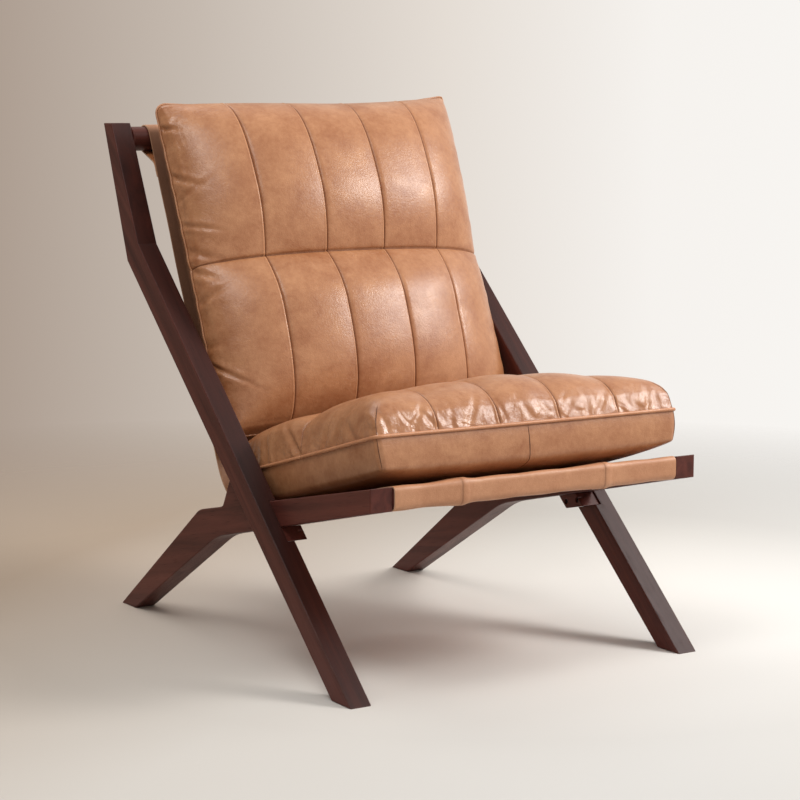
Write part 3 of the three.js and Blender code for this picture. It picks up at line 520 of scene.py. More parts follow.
# Seat cushion: a loose boxed cushion of soft tan leather over a filled core. The show face is sewn
# into five channels and one cross seam, a cord is sewn into its edge, and the boxing under it
# bulges over the sling. It zips open along the rear.
TAN_DEEP = (0.282, 0.100, 0.036, 1)
TAN_PALE = (0.464, 0.221, 0.106, 1)
TAN_DARK = (0.135, 0.041, 0.013, 1)
CHANNELS = 5
CROSS_PANELS = 2
CHANNEL_CELLS = 18
CROSS_CELLS = 45
BOXING_CELLS = 8
SIDE_DRAW_IN = 0.004
BOXING_BULGE = 0.002
SIM_FRAMES = 20
CLOTH_CAP = 0.022
CLOTH_BEND = 3.0
FINE_CHANNEL = 54
CHANNEL_PULL = 0.68
FINE_CROSS = 130
CROSS_PULL = 0.55
FINE_BOXING = 17
BELLY_RINGS = np.array([0.985, 0.96, 0.92, 0.86, 0.78, 0.66, 0.5, 0.3, 0.12])
BELLY_POWERS = ((4, 4), (4, 4)), (4, 4)
EDGE_FADE = 0.004
SEAM_FADE = 0.003
CREASE, CREASE_WIDTH = 0.0026, 0.0010
CROSS_CREASE, CROSS_WIDTH = 0.0032, 0.0011
RIDGE, RIDGE_OFF, RIDGE_WIDTH = 0.0009, 0.0034, 0.0020
EDGE_RIPPLE, EDGE_REACH = 0.0011, 0.020
CHANNEL_RIPPLE, CHANNEL_REACH = 0.00012, 0.012
CROSS_RIPPLE, CROSS_REACH = 0.0003, 0.014
# Painted shade: reaches of the darkening at the sewn lines' creases, in the welt, and down the boxing under the
# welt.
SEAM_SHADE = 0.0006
WELT_SHADE = 0.0026
WALL_SHADE = 0.0030
# Painted highlight on the ridge beside each sewn line: its offset and width.
SEAM_HIGHLIGHT_OFF, SEAM_HIGHLIGHT_WIDTH = 0.0030, 0.0013
SLACK_REACH = 0.045
CORD_STEP = 0.004
CORD_PROUD = 0.55

# Where a value is given for each edge, the order is left, near, right, far.
seat = SimpleNamespace(
    at=np.array([-0.434, 0.343576]), run=SEAT_RUN, rise=SEAT_RISE,
    half=(0.2915, 0.2405), welt=0.074, belly=0.024, taper=0.006, crown=0.093,
    sides=((14.0, 30.0), (50.0, 40.0)), ends=(4.0, 8.0), swell=1.4, square=8.0,
    lean=(0.25, 0.42, 0.12), valley=(0.012, 0.085, 0.085), puff=0.002,
    corners=(0.010, 0.014, 0.024, 0.024), stray=0.0, pressure=1.4, seed=7,
    tucks=((7, 0.0160), (15, 0.0065), (6, 0.0050), (0, 0.0)),
    ripple=(0.9, 0.8, 0.4, 0.3), crumple=(0.8, 0.9, 0.7, 0.2), warp=None)


def cushion_plan(size, s, t, taper_share=0.0):
    """Plan of a cushion at s across and t along, each -1 to 1: a rectangle with round corners, its sides
    drawn in between them and straying in two sines, smaller all round by a share of the boxing's taper.
    Returns u and v."""
    half_u, half_v = size.half
    near_left, near_right, far_left, far_right = size.corners
    corner = np.where(t < 0, np.where(s < 0, near_left, near_right), np.where(s < 0, far_left, far_right))
    u, v = np.abs(s) * half_u, np.abs(t) * half_v
    across, along = ramp(u - (half_u - corner), corner), ramp(v - (half_v - corner), corner)
    u = np.where(across > 0, half_u - corner + corner * across * np.sqrt(1 - along ** 2 / 2), u)
    v = np.where(along > 0, half_v - corner + corner * along * np.sqrt(1 - across ** 2 / 2), v)
    u = u - SIDE_DRAW_IN * np.abs(s) * (1 - t ** 2)
    v = v - SIDE_DRAW_IN * np.abs(t) * (1 - s ** 2)
    sines = np.sin(139 * half_v * t + s) + 0.6 * np.sin(227 * half_v * t + 2 * s)
    u = u + size.stray * np.abs(s) ** 10 * sines * (1 - t ** 6)
    taper = size.taper * taper_share
    return np.sign(s) * u * (1 - taper / half_u), half_v + np.sign(t) * v * (1 - taper / half_v)


def cushion_fullness(s, t, sides, ends, swell=0.0, square=0.0):
    """Square root of (1 - |s| to a power) times (1 - |t| to a power): 1 in the middle, 0 at the edges.
    The powers are for the left and right sides, each near and far, and for the near and far ends: the
    higher, the fuller. The swell adds to the near end's power in the middle of each channel, and square
    adds to it towards both corners."""
    far = ramp(0.5 + 1.2 * t)
    left, right = (near + (distant - near) * far for near, distant in sides)
    across = np.abs(s) ** np.where(s < 0, left, right)
    near_end = ends[0] + swell * np.abs(np.sin(np.pi * (s + 1) / 2 * CHANNELS)) + square * s ** 4
    along = np.abs(t) ** np.where(t < 0, near_end, ends[1])
    return np.sqrt(ramp((1 - across) * (1 - along)))


def cushion_warp(size, s, t):
    """Shift of a cushion's rim and face, across and along: its own, or none."""
    return size.warp(s, t) if size.warp else (0 * s, 0 * s)


def cushion_face(size, s, t):
    """Show face before it is puffed: the crown, lower by a share to the left, right and rear, less the
    cross seam's valley, plus a low arch in each panel."""
    full = cushion_fullness(s, t, size.sides, size.ends, size.swell, size.square)
    depth, below, above = size.valley
    off = np.abs(t) * size.half[1]
    valley = depth * ramp(1 - off / np.where(t < 0, below, above)) ** 2
    arch = (np.abs(np.sin(np.pi * (s + 1) / 2 * CHANNELS)) ** 0.4
            * np.abs(np.sin(np.pi * (t + 1) / 2 * CROSS_PANELS)) ** 0.4)
    u, v = cushion_plan(size, s, t)
    warp_u, warp_v = cushion_warp(size, s, t)
    left, right, rear = size.lean
    lower = left * ramp(-s) ** 1.2 + right * ramp(s) ** 2.2 + rear * ramp(t + 0.1)
    w = size.welt + (size.crown * (1 - lower) - valley) * full + size.puff * arch * np.sqrt(full)
    return np.stack([u + warp_u, v + warp_v, w], -1)


def cushion_boxing(size, s, t, rows):
    """Boxing from the welt down to the belly's seam, at rim stops s and t: tapers in and bulges as a sine."""
    down = np.linspace(0, 1, rows)[:, None]
    top, foot, warp = (np.stack(pair)[:, None] for pair in (
        cushion_plan(size, s, t), cushion_plan(size, s, t, 1.0), cushion_warp(size, s, t)))
    out = np.stack([np.where(np.abs(stop) == 1, np.sign(stop), 0) for stop in (s, t)])[:, None]
    bulge = BOXING_BULGE * np.sin(np.pi * down)
    u, v = top + warp * (1 - down) + (foot - top) * down + out * bulge
    w = size.belly + (size.welt - size.belly) * (1 - down)
    return np.stack([u, v, w * np.ones_like(u)], -1)


def cushion_belly(size, s, t):
    """Underside: flat in the middle, rising to the boxing's seam by what the fullness lacks of 1."""
    lacking = 1 - cushion_fullness(s, t, *BELLY_POWERS)
    return np.stack([*cushion_plan(size, s, t, 1.0), size.belly * lacking], -1)


def rim_order(columns, rows):
    """Row-by-row numbers of a grid's edge points, once round from the first corner, along s first."""
    number = np.arange(columns * rows).reshape(columns, rows)
    return np.concatenate([number[:-1, 0], number[-1, :-1], number[:0:-1, -1], number[0, :0:-1]])


def skirted_quads(columns, rows, rings):
    """Quads of a grid and of the rings of points that hang from its rim, counted after it, facing outwards."""
    rim, first = rim_order(columns, rows), columns * rows
    upper = first + np.arange(len(rim))
    joint = np.stack([rim, upper, np.roll(upper, -1), np.roll(rim, -1)], -1)
    strip = grid_quads(rings, len(rim), wrap=True, first=first)[:, ::-1]
    return np.concatenate([grid_quads(columns, rows)[:, ::-1], joint, strip])


def in_frame(size, local):
    """Points of a cushion's own frame (across, along, off the sheet) put in the chair's frame."""
    side = size.at + local[..., 1:2] * size.run + local[..., 2:3] * size.rise
    return np.concatenate([local[..., :1], side], -1)


def inflate(size, name):
    """Blows a cushion's face and boxing up as cloth, held along the sewn lines, the welt and the belly's
    seam, for a few frames, with a cap on how far a point may move. Returns the grid of the face and the
    rows of the boxing, both in the cushion's frame."""
    columns, rows = CHANNELS * CHANNEL_CELLS + 1, CROSS_PANELS * CROSS_CELLS + 1
    s, t = np.meshgrid(np.linspace(-1, 1, columns), np.linspace(-1, 1, rows), indexing="ij")
    face = cushion_face(size, s, t)
    rim = rim_order(columns, rows)
    boxing = cushion_boxing(size, s.ravel()[rim], t.ravel()[rim], BOXING_CELLS + 1)
    points = np.concatenate([face.reshape(-1, 3), boxing[1:].reshape(-1, 3)])
    trial = new_mesh(name + "_trial", points, skirted_quads(columns, rows, BOXING_CELLS))
    held = np.zeros(len(points))
    sewn = (np.arange(columns)[:, None] % CHANNEL_CELLS == 0) | (np.arange(rows)[None, :] % CROSS_CELLS == 0)
    held[:columns * rows] = sewn.ravel()
    held[rim] = 1
    held[-len(rim):] = 1
    pins = trial.vertex_groups.new(name="held")
    pins.add(np.flatnonzero(held).tolist(), 1.0, "REPLACE")
    cloth = trial.modifiers.new("cloth", "CLOTH")
    for setting, value in {
            "vertex_group_mass": "held", "quality": 6, "mass": 0.3, "tension_stiffness": 25,
            "compression_stiffness": 25, "shear_stiffness": 10, "bending_stiffness": CLOTH_BEND,
            "use_pressure": True, "uniform_pressure_force": size.pressure}.items():
        setattr(cloth.settings, setting, value)
    cloth.settings.effector_weights.gravity = 0
    cloth.collision_settings.use_collision = False
    cloth.point_cache.frame_end = SIM_FRAMES
    scene = bpy.context.scene
    for step in range(1, SIM_FRAMES + 1):
        scene.frame_set(step)
    blown = trial.evaluated_get(bpy.context.evaluated_depsgraph_get()).data
    moved = np.empty(len(points) * 3, np.float32)
    blown.vertices.foreach_get("co", moved)
    motion = moved.reshape(-1, 3) - points
    far = np.linalg.norm(motion, axis=1, keepdims=True)
    points = points + motion * np.minimum(1, CLOTH_CAP / np.maximum(far, 1e-9))
    scene.frame_set(1)
    bpy.data.objects.remove(trial)
    face = points[:columns * rows].reshape(columns, rows, 3)
    boxing = np.concatenate([points[rim][None], points[columns * rows:].reshape(BOXING_CELLS, -1, 3)])
    return face, boxing


def cubic_reader(cells, panels, at):
    """Weights that read a line of panels x cells + 1 even points at places counted in cells, by a
    Catmull-Rom cubic within each panel, so that the line may break at the sewn lines between them. A point
    past a panel's end is twice its end less the point before that."""
    table = np.zeros((len(at), panels * cells + 1))
    panel = np.clip((at // cells).astype(int), 0, panels - 1)
    cell = np.clip(np.floor(at - panel * cells).astype(int), 0, cells - 1)
    f = at - panel * cells - cell
    weights = np.stack([-f + 2 * f ** 2 - f ** 3, 2 - 5 * f ** 2 + 3 * f ** 3,
                        f + 4 * f ** 2 - 3 * f ** 3, -f ** 2 + f ** 3], 1) / 2
    row = np.arange(len(at))
    start = panel * cells
    for k in range(4):
        number = cell + k - 1
        held = np.clip(number, 0, cells)
        past = number != held
        np.add.at(table, (row, start + held), np.where(past, 2, 1) * weights[:, k])
        np.add.at(table, (row, start + 2 * held - number), np.where(past, -1, 0) * weights[:, k])
    return table


def packed_places(cells, panels, count, pull):
    """Places from 0 to panels x cells, `count` to a panel, drawn towards the sewn lines by a sine."""
    x = np.linspace(0, 1, count + 1)
    one = x - pull * np.sin(2 * np.pi * x) / (2 * np.pi)
    return np.concatenate([np.concatenate([k + one[:-1] for k in range(panels)]), [panels]]) * cells


def fine_places():
    """Places of the finer grid across and along, in cells of the blown one, and the same from -1 to 1."""
    at_s = packed_places(CHANNEL_CELLS, CHANNELS, FINE_CHANNEL, CHANNEL_PULL)
    at_t = packed_places(CROSS_CELLS, CROSS_PANELS, FINE_CROSS, CROSS_PULL)
    return at_s, at_t, at_s / (CHANNELS * CHANNEL_CELLS) * 2 - 1, at_t / (CROSS_PANELS * CROSS_CELLS) * 2 - 1


def surface_normals(points):
    """Unit normals of a grid of points from its differences along both ways."""
    return unit(np.cross(np.gradient(points, axis=0), np.gradient(points, axis=1)))


def pucker(rng, along, waves=26, shortest=0.013, longest=0.050):
    """Uneven ripple along an edge: a sum of sines of seeded lengths and phases, swelling and dying away."""
    length = rng.uniform(shortest, longest, waves)
    phase = rng.uniform(0, 2 * np.pi, waves)
    sines = np.sin(2 * np.pi * along[..., None] / length + phase) * np.sqrt(length / longest)
    swell = 0.6 + 0.6 * np.sin(2 * np.pi * along / rng.uniform(0.11, 0.19) + rng.uniform(0, 6))
    return sines.sum(-1) / math.sqrt(waves) * np.clip(swell, 0.1, None)


def tucks(rng, along, off, count, half, depth):
    """Short folds that run in from a sewn edge: each a narrow valley between two low shoulders, a
    difference of two bell curves across it, that grows from the edge and dies away inwards. Their places
    are seeded."""
    folds = np.zeros_like(along)
    for centre in np.linspace(-half, half, count + 2)[1:-1]:
        place, slant = centre + rng.uniform(-0.4, 0.4) * 2 * half / count, rng.uniform(-0.9, 0.9)
        width, length = rng.uniform(0.0050, 0.0105), rng.uniform(0.020, 0.055)
        x = (along - place - slant * off) / width
        fold = 0.6 * bell(x, 1.9) - bell(x, 1)
        folds += depth * rng.uniform(0.35, 1.0) * fold * bell(off, length) * (1 - fall(off, EDGE_FADE))
    return folds


def cushion_cover(size, name):
    """Whole cover: the blown face and boxing read on a finer grid that is dense at the seams, creased along
    the sewn lines, puckered along the welt, and closed below by rings of the flat belly."""
    face, boxing = inflate(size, name)
    rng = np.random.default_rng(size.seed)
    half_u, half_v = size.half
    at_s, at_t, s, t = fine_places()
    read_s, read_t = cubic_reader(CHANNEL_CELLS, CHANNELS, at_s), cubic_reader(CROSS_CELLS, CROSS_PANELS, at_t)
    fine = np.einsum("ai,ijk,bj->abk", read_s, face, read_t, optimize=True)
    s, t = np.meshgrid(s, t, indexing="ij")
    u, v = s * half_u, t * half_v
    channel = (s + 1) / 2 * CHANNELS
    from_line = (channel - np.round(channel)) / CHANNELS * 2 * half_u
    inner = (np.round(channel) > 0) & (np.round(channel) < CHANNELS)
    off_channel = np.where(inner, np.abs(from_line), 1.0)
    off_cross = np.abs(v)
    columns, rows = fine.shape[:2]
    step_s, step_t = (np.linalg.norm(np.diff(fine, axis=axis), axis=-1) for axis in (0, 1))
    from_left = np.concatenate([np.zeros((1, rows)), np.cumsum(step_s, 0)])
    from_near = np.concatenate([np.zeros((columns, 1)), np.cumsum(step_t, 1)], 1)
    edges = [from_left, from_near, from_left[-1:] - from_left, from_near[:, -1:] - from_near]
    off_edge = np.minimum.reduce(edges)
    fade = 1 - fall(off_edge, EDGE_FADE)
    crease = -CREASE * fall(off_channel, CREASE_WIDTH) * fade - CROSS_CREASE * fall(off_cross, CROSS_WIDTH)
    ridge = RIDGE * bell(from_line + RIDGE_OFF, RIDGE_WIDTH) * inner * fade
    ripple = np.zeros_like(u)
    halves = (half_v, half_u, half_v, half_u)
    for edge, along, half, (count, depth) in zip(edges, (v, u, v, u), halves, size.tucks):
        ripple += tucks(rng, along, edge, count, half, depth)
    for edge, along, force in zip(edges, (v, u, v, u), size.ripple):
        near = fall(edge, EDGE_REACH) * (1 - fall(edge, EDGE_FADE))
        ripple += EDGE_RIPPLE * force * near * pucker(rng, along + 0.35 * edge * np.sign(along))
    for line in range(1, CHANNELS):
        off = np.abs(u - (2 * line / CHANNELS - 1) * half_u)
        near = CHANNEL_RIPPLE * fall(off, CHANNEL_REACH) * (1 - fall(off, SEAM_FADE))
        ripple += near * pucker(rng, v + line)
    near = CROSS_RIPPLE * fall(off_cross, CROSS_REACH) * (1 - fall(off_cross, SEAM_FADE))
    ripple += near * pucker(rng, u)
    normal = surface_normals(fine)
    fine = fine + normal * (crease + ridge + ripple * fade)[..., None]
    rim = rim_order(columns, rows)
    # Boxing: each of its four sides is read with the face's own weights, so that both share the welt.
    read_down = cubic_reader(BOXING_CELLS, 1, np.linspace(0, BOXING_CELLS, FINE_BOXING))
    n, m = CHANNELS * CHANNEL_CELLS, CROSS_PANELS * CROSS_CELLS
    ring = np.concatenate([boxing, boxing[:, :1]], 1)
    sides = [(ring[:, :n + 1], read_s), (ring[:, n:n + m + 1], read_t),
             (ring[:, n + m:2 * n + m + 1], read_s[::-1, ::-1]), (ring[:, 2 * n + m:], read_t[::-1, ::-1])]
    wall = np.concatenate([np.einsum("ai,ijk,bj->abk", read_down, part, read, optimize=True)[:, :-1]
                           for part, read in sides], 1)
    wall[0] = fine.reshape(-1, 3)[rim]
    # Belly: rings of the flat underside, each a share of the rim's stops, closed at the middle.
    share = BELLY_RINGS[:, None]
    belly = cushion_belly(size, s.ravel()[rim] * share, t.ravel()[rim] * share)
    middle = np.array([[0, half_v, 0.0]])
    points = np.concatenate([fine.reshape(-1, 3), wall[1:].reshape(-1, 3), belly.reshape(-1, 3), middle])
    count = len(rim)
    last = len(points) - 1 - count + np.arange(count)
    fan = np.stack([last, np.roll(last, -1), np.full(count, len(points) - 1)], -1)[:, ::-1]
    quads = skirted_quads(columns, rows, len(wall) - 1 + len(belly))
    cover = new_mesh(name, in_frame(size, points), quads, fan)
    # What the leather reads: dark seam lines with painted shade in their creases, painted shade in the welt and a
    # painted shadow on the boxing under it, a painted highlight beside each sewn line, and slack near the edges.
    seam = fall(np.minimum(off_channel, off_cross), SEAM_SHADE)
    seam = np.maximum(seam, 0.9 * bell(off_edge, WELT_SHADE))
    # Painted shadow on the boxing under the welt, fading downwards.
    under = 0.8 * fall(np.linspace(0, 1, len(wall))[1:, None] * 0.05, WALL_SHADE) * np.ones(count)
    # Painted highlight on the ridge beside each sewn line.
    seam_highlight = bell(from_line + SEAM_HIGHLIGHT_OFF, SEAM_HIGHLIGHT_WIDTH) * inner * fade
    slack = sum(force * bell(edge, SLACK_REACH) for edge, force in zip(edges, size.crumple))
    for field, values in (("seam", np.concatenate([seam.ravel(), under.ravel()])), ("seam_highlight", seam_highlight), ("slack", slack)):
        set_field(cover, field, np.concatenate([values.ravel(), np.zeros(len(points) - values.size)]))
    return cover, fine, wall


def welt_cord(size, wall, name, radius, sides=14):
    """Cord sewn in the welt: a circle of the cord's radius carried along the welt, square to it."""
    line = evenly(np.concatenate([wall[0], wall[0][:1]]), CORD_STEP)[0][:-1]
    run = unit(np.roll(line, -1, 0) - np.roll(line, 1, 0))
    out = unit(np.cross(run, (0, 0, 1.0)))
    over = np.cross(out, run)
    angle = once_round(sides)[:, None]
    centre = line + out * radius * CORD_PROUD
    tube = centre[:, None] + radius * (np.cos(angle) * out[:, None] + np.sin(angle) * over[:, None])
    quads = grid_quads(len(line) + 1, sides, wrap=True)[:, ::-1] % (len(line) * sides)
    cord = new_mesh(name, in_frame(size, tube), quads)
    set_field(cord, "seam", 0.5 * np.exp(-((np.abs(np.cos(angle[:, 0]) + 1)) / 0.35)) * np.ones((len(line), 1)))
    return cord


cushion_leather = leather_material("cushion_leather", TAN_DEEP, TAN_PALE, TAN_DARK, 0.39)
cord_leather = leather_material("cord_leather", (0.42, 0.165, 0.070, 1), (0.54, 0.25, 0.122, 1), TAN_DARK, 0.45)


def finish_cushion(size, body, cord_radius, cord_finish):
    """Makes a cushion's cover and cord, dresses them, and sets them on their body in place of its solids."""
    cover, fine, wall = cushion_cover(size, body + "_leather")
    cord = welt_cord(size, wall, body + "_cord", cord_radius)
    cover.data.materials.append(cushion_leather)
    cord.data.materials.append(cord_finish)
    for made, stands_for in ((cover, ("cover", "core")), (cord, ("piping",))):
        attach(made, body)
        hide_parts(*(f"{body}_{part}" for part in stands_for))
    return fine, wall


seat_face, seat_wall = finish_cushion(seat, "seat_cushion", 0.0029, cord_leather)


# Seat cushion's zip: a brown woven tape along the middle of the rear boxing, blackened brass teeth in
# two rows, and a slider with its pull. The back cushion has the same under its foot.
ZIP_HALF = 0.21
ZIP_STOPS = 141
ZIP_ROWS = np.array([0.40, 0.45, 0.50, 0.55, 0.60])
TAPE_OFF = 0.0012
TAPE_THICK = 0.0009
TOOTH_HALF = (0.00085, 0.0007, 0.0012)
TOOTH_FACES = np.array([(0, 1, 3, 2), (4, 6, 7, 5), (0, 4, 5, 1), (2, 3, 7, 6), (0, 2, 6, 4), (1, 5, 7, 3)])
TOOTH_STAGGER = 0.0007
SLIDER_STEPS = 14
SLIDER_SIDES = 12
SLIDER_RUN, SLIDER_BEAD = np.array([0.0125, 0, 0]), (0.0042, 0.0021)
PULL_RUN, PULL_BEAD = np.array([0.019, 0, -0.004]), (0.0024, 0.0008)


def zip_run(size, wall, first, count, body, out):
    """Zip in one side of the boxing: a tape just off it along its middle, two rows of teeth as small
    blocks set in turn above and below the middle line, and a slider and pull as beads at one end."""
    side = wall[:, first:first + count]
    side = side if side[0, 0, 0] < side[0, -1, 0] else side[:, ::-1]
    x = np.linspace(-ZIP_HALF, ZIP_HALF, ZIP_STOPS)
    bands = []
    for row in ZIP_ROWS * (len(wall) - 1):
        low = int(row)
        line = side[low] + (row - low) * (side[low + 1] - side[low])
        along, off = (np.interp(x, line[:, 0], line[:, k]) for k in (1, 2))
        bands.append(np.stack([x, along + TAPE_OFF * out, off], 1))
    bands = np.stack(bands)
    quads = grid_quads(*bands.shape[:2])
    tape = new_mesh(body + "_zip_tape", in_frame(size, bands), quads if out < 0 else quads[:, ::-1])
    tape.modifiers.new("tape_thickness", "SOLIDIFY").thickness = TAPE_THICK
    tape.data.materials.append(zip_tape)
    corner = np.stack(np.meshgrid(*((-half, half) for half in TOOTH_HALF), indexing="ij"), -1).reshape(-1, 3)
    middle = bands[2, 2:-2] + np.array([0, TOOTH_HALF[1] * out, 0])
    middle[:, 2] += np.where(np.arange(len(middle)) % 2, TOOTH_STAGGER, -TOOTH_STAGGER)
    teeth = new_mesh(body + "_zip_teeth", in_frame(size, middle[:, None] + corner),
                     (np.arange(len(middle))[:, None, None] * 8 + TOOTH_FACES).reshape(-1, 4))
    teeth.data.shade_flat()
    facing = np.broadcast_to((0, out, 0), (SLIDER_STEPS, 3))
    share = np.linspace(0, 1, SLIDER_STEPS)[:, None]
    slider = bands[2, 3] + share * SLIDER_RUN + (0, 0.0014 * out, 0)
    pull = bands[2, 3] + share * PULL_RUN + (0.006, 0.0034 * out, 0)
    metal = [in_frame(size, sewn_bead(path, facing, *bead, SLIDER_SIDES))
             for path, bead in ((slider, SLIDER_BEAD), (pull, PULL_BEAD))]
    slide = bead_mesh(body + "_zip_slider", metal, SLIDER_SIDES)
    for made in (teeth, slide):
        made.data.materials.append(zip_metal)
    for made in (tape, teeth, slide):
        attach(made, body)
    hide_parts(body + "_zip")


zip_tape, tree, shader = new_material("zip_tape", Roughness=0.85, Specular_IOR_Level=0.2)
place = add_node(tree, "ShaderNodeTexCoord").outputs["Object"]
rib = add_node(tree, "ShaderNodeTexWave", {"Vector": place, "Scale": 420.0, "Distortion": 0.6}).outputs["Fac"]
feed(tree, shader, Base_Color=blend_colour(tree, rib, (0.10, 0.042, 0.018, 1), (0.19, 0.085, 0.038, 1)),
     Normal=relief(tree, 0.5, 0.0003, rib))
zip_metal = worn_metal("zip_metal", 600.0, 3.0, 0.5, (0.10, 0.070, 0.038, 1), (0.26, 0.19, 0.11, 1))
seat_columns, seat_rows = seat_face.shape[:2]
zip_run(seat, seat_wall, seat_columns + seat_rows - 2, seat_columns, "seat_cushion", 1)


# Seat cushion's sewn lines: a dart at each front corner that takes up the leather, the boxing's corner
# seams below the darts, and the join in its front, which runs on under the belly.
DART_STOPS = np.linspace(0.0, 0.085, 24)
DART_SLANT = 1.15
JOIN_AT = -0.008
JOIN_RINGS = 5
SEAM_SIDES = 8
SEAM_BEAD = (0.0008, 0.0006)


def read_grid(grid, i, j):
    """Values of a grid of points at fractional row and column numbers, blended from four neighbours."""
    a, b = np.clip(i.astype(int), 0, grid.shape[0] - 2), np.clip(j.astype(int), 0, grid.shape[1] - 2)
    f, g = (i - a)[:, None], (j - b)[:, None]
    return ((1 - f) * ((1 - g) * grid[a, b] + g * grid[a, b + 1])
            + f * ((1 - g) * grid[a + 1, b] + g * grid[a + 1, b + 1]))


_, _, even_s, even_t = fine_places()
dart_i = np.interp(DART_STOPS - 1, even_s, np.arange(seat_columns))
dart_j = np.interp(DART_SLANT * DART_STOPS - 1, even_t, np.arange(seat_rows))
face_normal = surface_normals(seat_face)
lines = [(read_grid(seat_face, i, dart_j), read_grid(face_normal, i, dart_j))
         for i in (dart_i, seat_columns - 1 - dart_i)]
lines += [(seat_wall[:, column], np.broadcast_to((side, -0.7, 0), (len(seat_wall), 3)))
          for column, side in ((0, -0.7), (seat_columns - 1, 0.7))]
join = int(np.argmin(np.abs(seat_wall[0, :seat_columns, 0] - JOIN_AT)))
share = BELLY_RINGS[:JOIN_RINGS]
join_line = np.concatenate([seat_wall[:, join], cushion_belly(seat, even_s[join] * share, -share)])
lines.append((join_line, np.broadcast_to((0, -0.75, -0.66), join_line.shape)))
seat_seams = bead_mesh("seat_cushion_seams", [
    in_frame(seat, sewn_bead(path, normal, *SEAM_BEAD, SEAM_SIDES)) for path, normal in lines], SEAM_SIDES)
seam_leather = leather_material("seam_leather", (0.085, 0.027, 0.009, 1), (0.130, 0.045, 0.016, 1), TAN_DARK, 0.8)
seat_seams.data.materials.append(seam_leather)
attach(seat_seams, "seat_cushion")


# Back cushion: made as the seat cushion is, longer and with a deeper cross seam that parts it into
# an upper and a lower roll. It leans on the sling and stands on the seat cushion's rear edge.
def back_warp(s, t):
    """Pull of the top right corner up and out, where the cover was stuffed hardest, and of the top left up
    a little: products of squared ramps across and along."""
    corner = ramp(s) ** 2 * ramp(t - 0.2, 0.8) ** 2
    left = np.clip(0.5 - s, 0, 1.5) / 1.5 * ramp(t - 0.4, 0.6) ** 2
    return 0.012 * corner, 0.021 * corner + 0.0065 * left


back = SimpleNamespace(
    at=np.array([0.142615, 0.319153]), run=BACK_RUN, rise=BACK_RISE,
    half=(0.297, 0.302), welt=0.085, belly=0.020, taper=0.040, crown=0.106,
    sides=((2.2, 2.2), (1.9, 3.4)), ends=(4.0, 5.2), swell=0.0, square=0.0,
    lean=(0.0, 0.0, 0.0), valley=(0.034, 0.105, 0.125), puff=0.0045,
    corners=(0.024, 0.024, 0.022, 0.005), stray=0.0005, pressure=1.0, seed=11,
    tucks=((10, 0.0140), (0, 0.0), (3, 0.0020), (4, 0.0014)),
    ripple=(0.9, 0.3, 0.2, 0.2), crumple=(0.8, 0.2, 0.15, 0.2), warp=back_warp)
back_face, back_wall = finish_cushion(back, "back_cushion", 0.0017, cushion_leather)
zip_run(back, back_wall, 0, back_face.shape[0], "back_cushion", -1)


# Floor: a pale studio floor that fades into the background. It pales to the right and a little to the front
# as painted falloff of light, and is lightest near the chair's right side as a painted pool of light.
def floor_disc(radius=4.2, rings=24, spokes=96):
    """Flat disc: rings of points round the origin, the innermost drawn to a point."""
    r = np.linspace(0.0, radius, rings)[:, None]
    a = once_round(spokes)
    return np.stack([r * np.cos(a), r * np.sin(a), np.zeros((rings, spokes))], -1)


def colour_ramp(tree, value, stops):
    """Colour that runs through stops, each a place from 0 to 1 and a colour; returns its output."""
    made = add_node(tree, "ShaderNodeValToRGB", {0: value})
    elements = made.color_ramp.elements
    elements[0].color, elements[1].color = stops[0][1], stops[-1][1]
    for at, colour in stops[1:-1]:
        elements.new(at).color = colour
    return made.outputs["Color"]


disc = floor_disc()
floor = new_mesh("floor", disc, grid_quads(len(disc), disc.shape[1], wrap=True)[:, ::-1])
floor_with_painted_light, tree, shader = new_material("floor_with_painted_light", Roughness=0.9, Specular_IOR_Level=0.1)
place = add_node(tree, "ShaderNodeTexCoord").outputs["Object"]
# Painted falloff of light: darker and warmer to the left, paler to the right.
paler = spread(tree, measure(tree, "DOT_PRODUCT", place, (0.66, -0.85, 0)), -0.9, 0.7)
painted = colour_ramp(tree, paler, (
    (0, (0.50, 0.395, 0.305, 1)), (0.55, (0.66, 0.625, 0.58, 1)), (1, (0.68, 0.665, 0.64, 1))))
# Painted pool of light: paler near the chair's right side, under and beside the chair, and darker far from it.
apart = measure(tree, "DISTANCE", place, (0.30, 0.10, 0))
feed(tree, shader, Base_Color=scaled(tree, painted, spread(tree, apart, 0.95, 0.15, 0.86, 1.16)))
reach = spread(tree, measure(tree, "LENGTH", place), 1.1, 2.7)
clear = add_node(tree, "ShaderNodeBsdfTransparent")
fade = add_node(tree, "ShaderNodeMixShader", {0: reach, 1: shader.outputs[0], 2: clear.outputs[0]})
feed(tree, tree.nodes["Material Output"], Surface=fade.outputs[0])
floor.data.materials.append(floor_with_painted_light)


# Studio: light from all round, stronger from above and the right front, and a background that pales
# from left to right. Four soft boxes add a key from the right front, two fills and one overhead.
STUDIO_WHITE = (1.0, 0.985, 0.965)

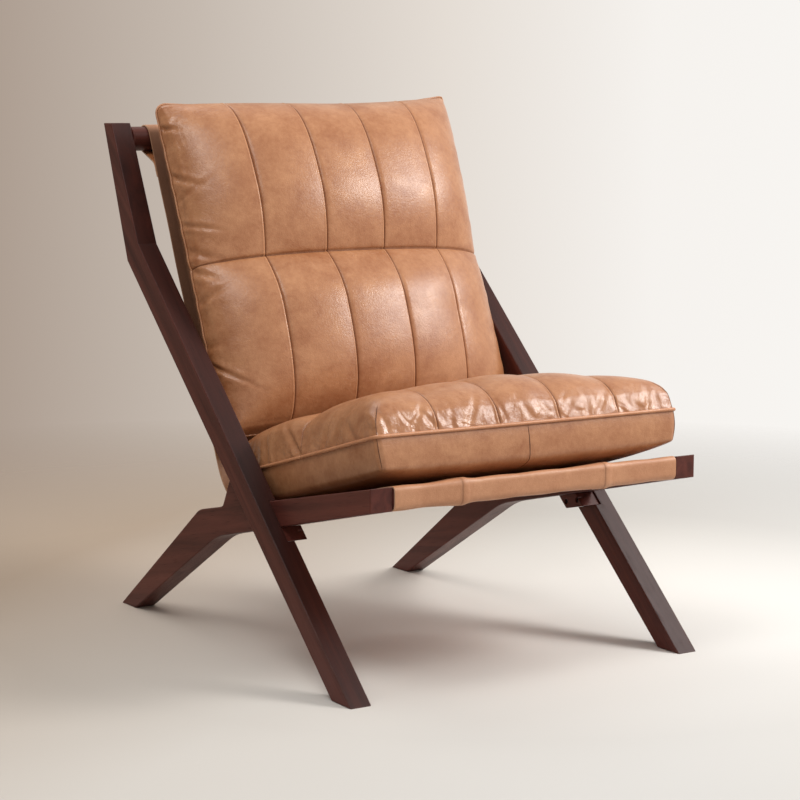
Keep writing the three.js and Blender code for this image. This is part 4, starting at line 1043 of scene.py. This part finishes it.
world = bpy.data.worlds.new("studio")
bpy.context.scene.world = world
world.use_nodes = True
tree = world.node_tree
lit = tree.nodes["Background"]
lit.inputs["Color"].default_value = (*STUDIO_WHITE, 1)
heading = add_node(tree, "ShaderNodeTexCoord").outputs["Generated"]
from_above = measure(tree, "DOT_PRODUCT", heading, (0.30, -0.48, 0.825))
feed(tree, lit, Strength=spread(tree, from_above, -1, 1, 0.03, 0.73))
rightwards = spread(tree, measure(tree, "DOT_PRODUCT", heading, (0.844, -0.536, 0)), -0.2, 0.2)
backdrop = colour_ramp(tree, rightwards, (
    (0, (0.38, 0.30, 0.245, 1)), (0.28, (0.56, 0.49, 0.43, 1)), (0.55, (0.78, 0.72, 0.66, 1)),
    (0.78, (0.92, 0.89, 0.855, 1)), (1, (0.94, 0.92, 0.89, 1))))
shown = add_node(tree, "ShaderNodeBackground", {"Color": backdrop, "Strength": 1.0})
path = add_node(tree, "ShaderNodeLightPath").outputs
glossy = maths(tree, "MAXIMUM", path["Is Glossy Ray"], path["Is Transmission Ray"])
seen = maths(tree, "MAXIMUM", path["Is Camera Ray"], glossy)
either = add_node(tree, "ShaderNodeMixShader", {0: seen, 1: lit.outputs[0], 2: shown.outputs[0]})
feed(tree, tree.nodes["World Output"], Surface=either.outputs[0])


def softbox(name, place, aim, size, power):
    """Square soft light at a place, turned to an aim."""
    lamp = bpy.data.lights.new(name, "AREA")
    lamp.energy, lamp.size, lamp.color = power, size, STUDIO_WHITE
    made = new_object(name, lamp)
    made.visible_camera = False
    made.location = place
    made.rotation_mode = "QUATERNION"
    made.rotation_quaternion = (Vector(aim) - Vector(place)).to_track_quat("-Z", "Y")


softbox("key", (2.15, -1.78, 2.15), (0, 0, 0.45), 1.1, 77)
softbox("fill", (-1.50, -0.85, 2.80), (0, 0, 0.45), 1.0, 26)
softbox("overhead", (-0.40, 1.10, 2.50), (-0.1, -0.1, 0.35), 1.3, 14)
softbox("side_fill", (1.30, -0.45, 1.35), (0.25, -0.2, 0.25), 0.5, 5)


# Camera: the photograph's viewing angle, from the chair's front left, a little above the seat. Its
# distance, focal length and small shifts are those that lay the frame's edges on the photograph's.
AZIMUTH = math.radians(-32.44)
ELEVATION = math.radians(7.69)
DISTANCE = 3.865
AIM = Vector((0, -0.0266, 0.40))
FOCAL_PIXELS = 2241
IMAGE_PIXELS = 800
SHIFT_PIXELS = (-0.9, 4)
SENSOR = 36
backwards = Vector((math.sin(AZIMUTH) * math.cos(ELEVATION), -math.cos(AZIMUTH) * math.cos(ELEVATION),
                    math.sin(ELEVATION)))
camera = new_object("camera", bpy.data.cameras.new("camera"))
bpy.context.scene.camera = camera
camera.location = AIM + backwards * DISTANCE
camera.rotation_mode = "QUATERNION"
camera.rotation_quaternion = (-backwards).to_track_quat("-Z", "Y")
camera.data.sensor_width = SENSOR
camera.data.lens = FOCAL_PIXELS * SENSOR / IMAGE_PIXELS
camera.data.shift_x, camera.data.shift_y = (pixels / IMAGE_PIXELS for pixels in SHIFT_PIXELS)
bpy.context.scene.view_settings.view_transform = "Standard"
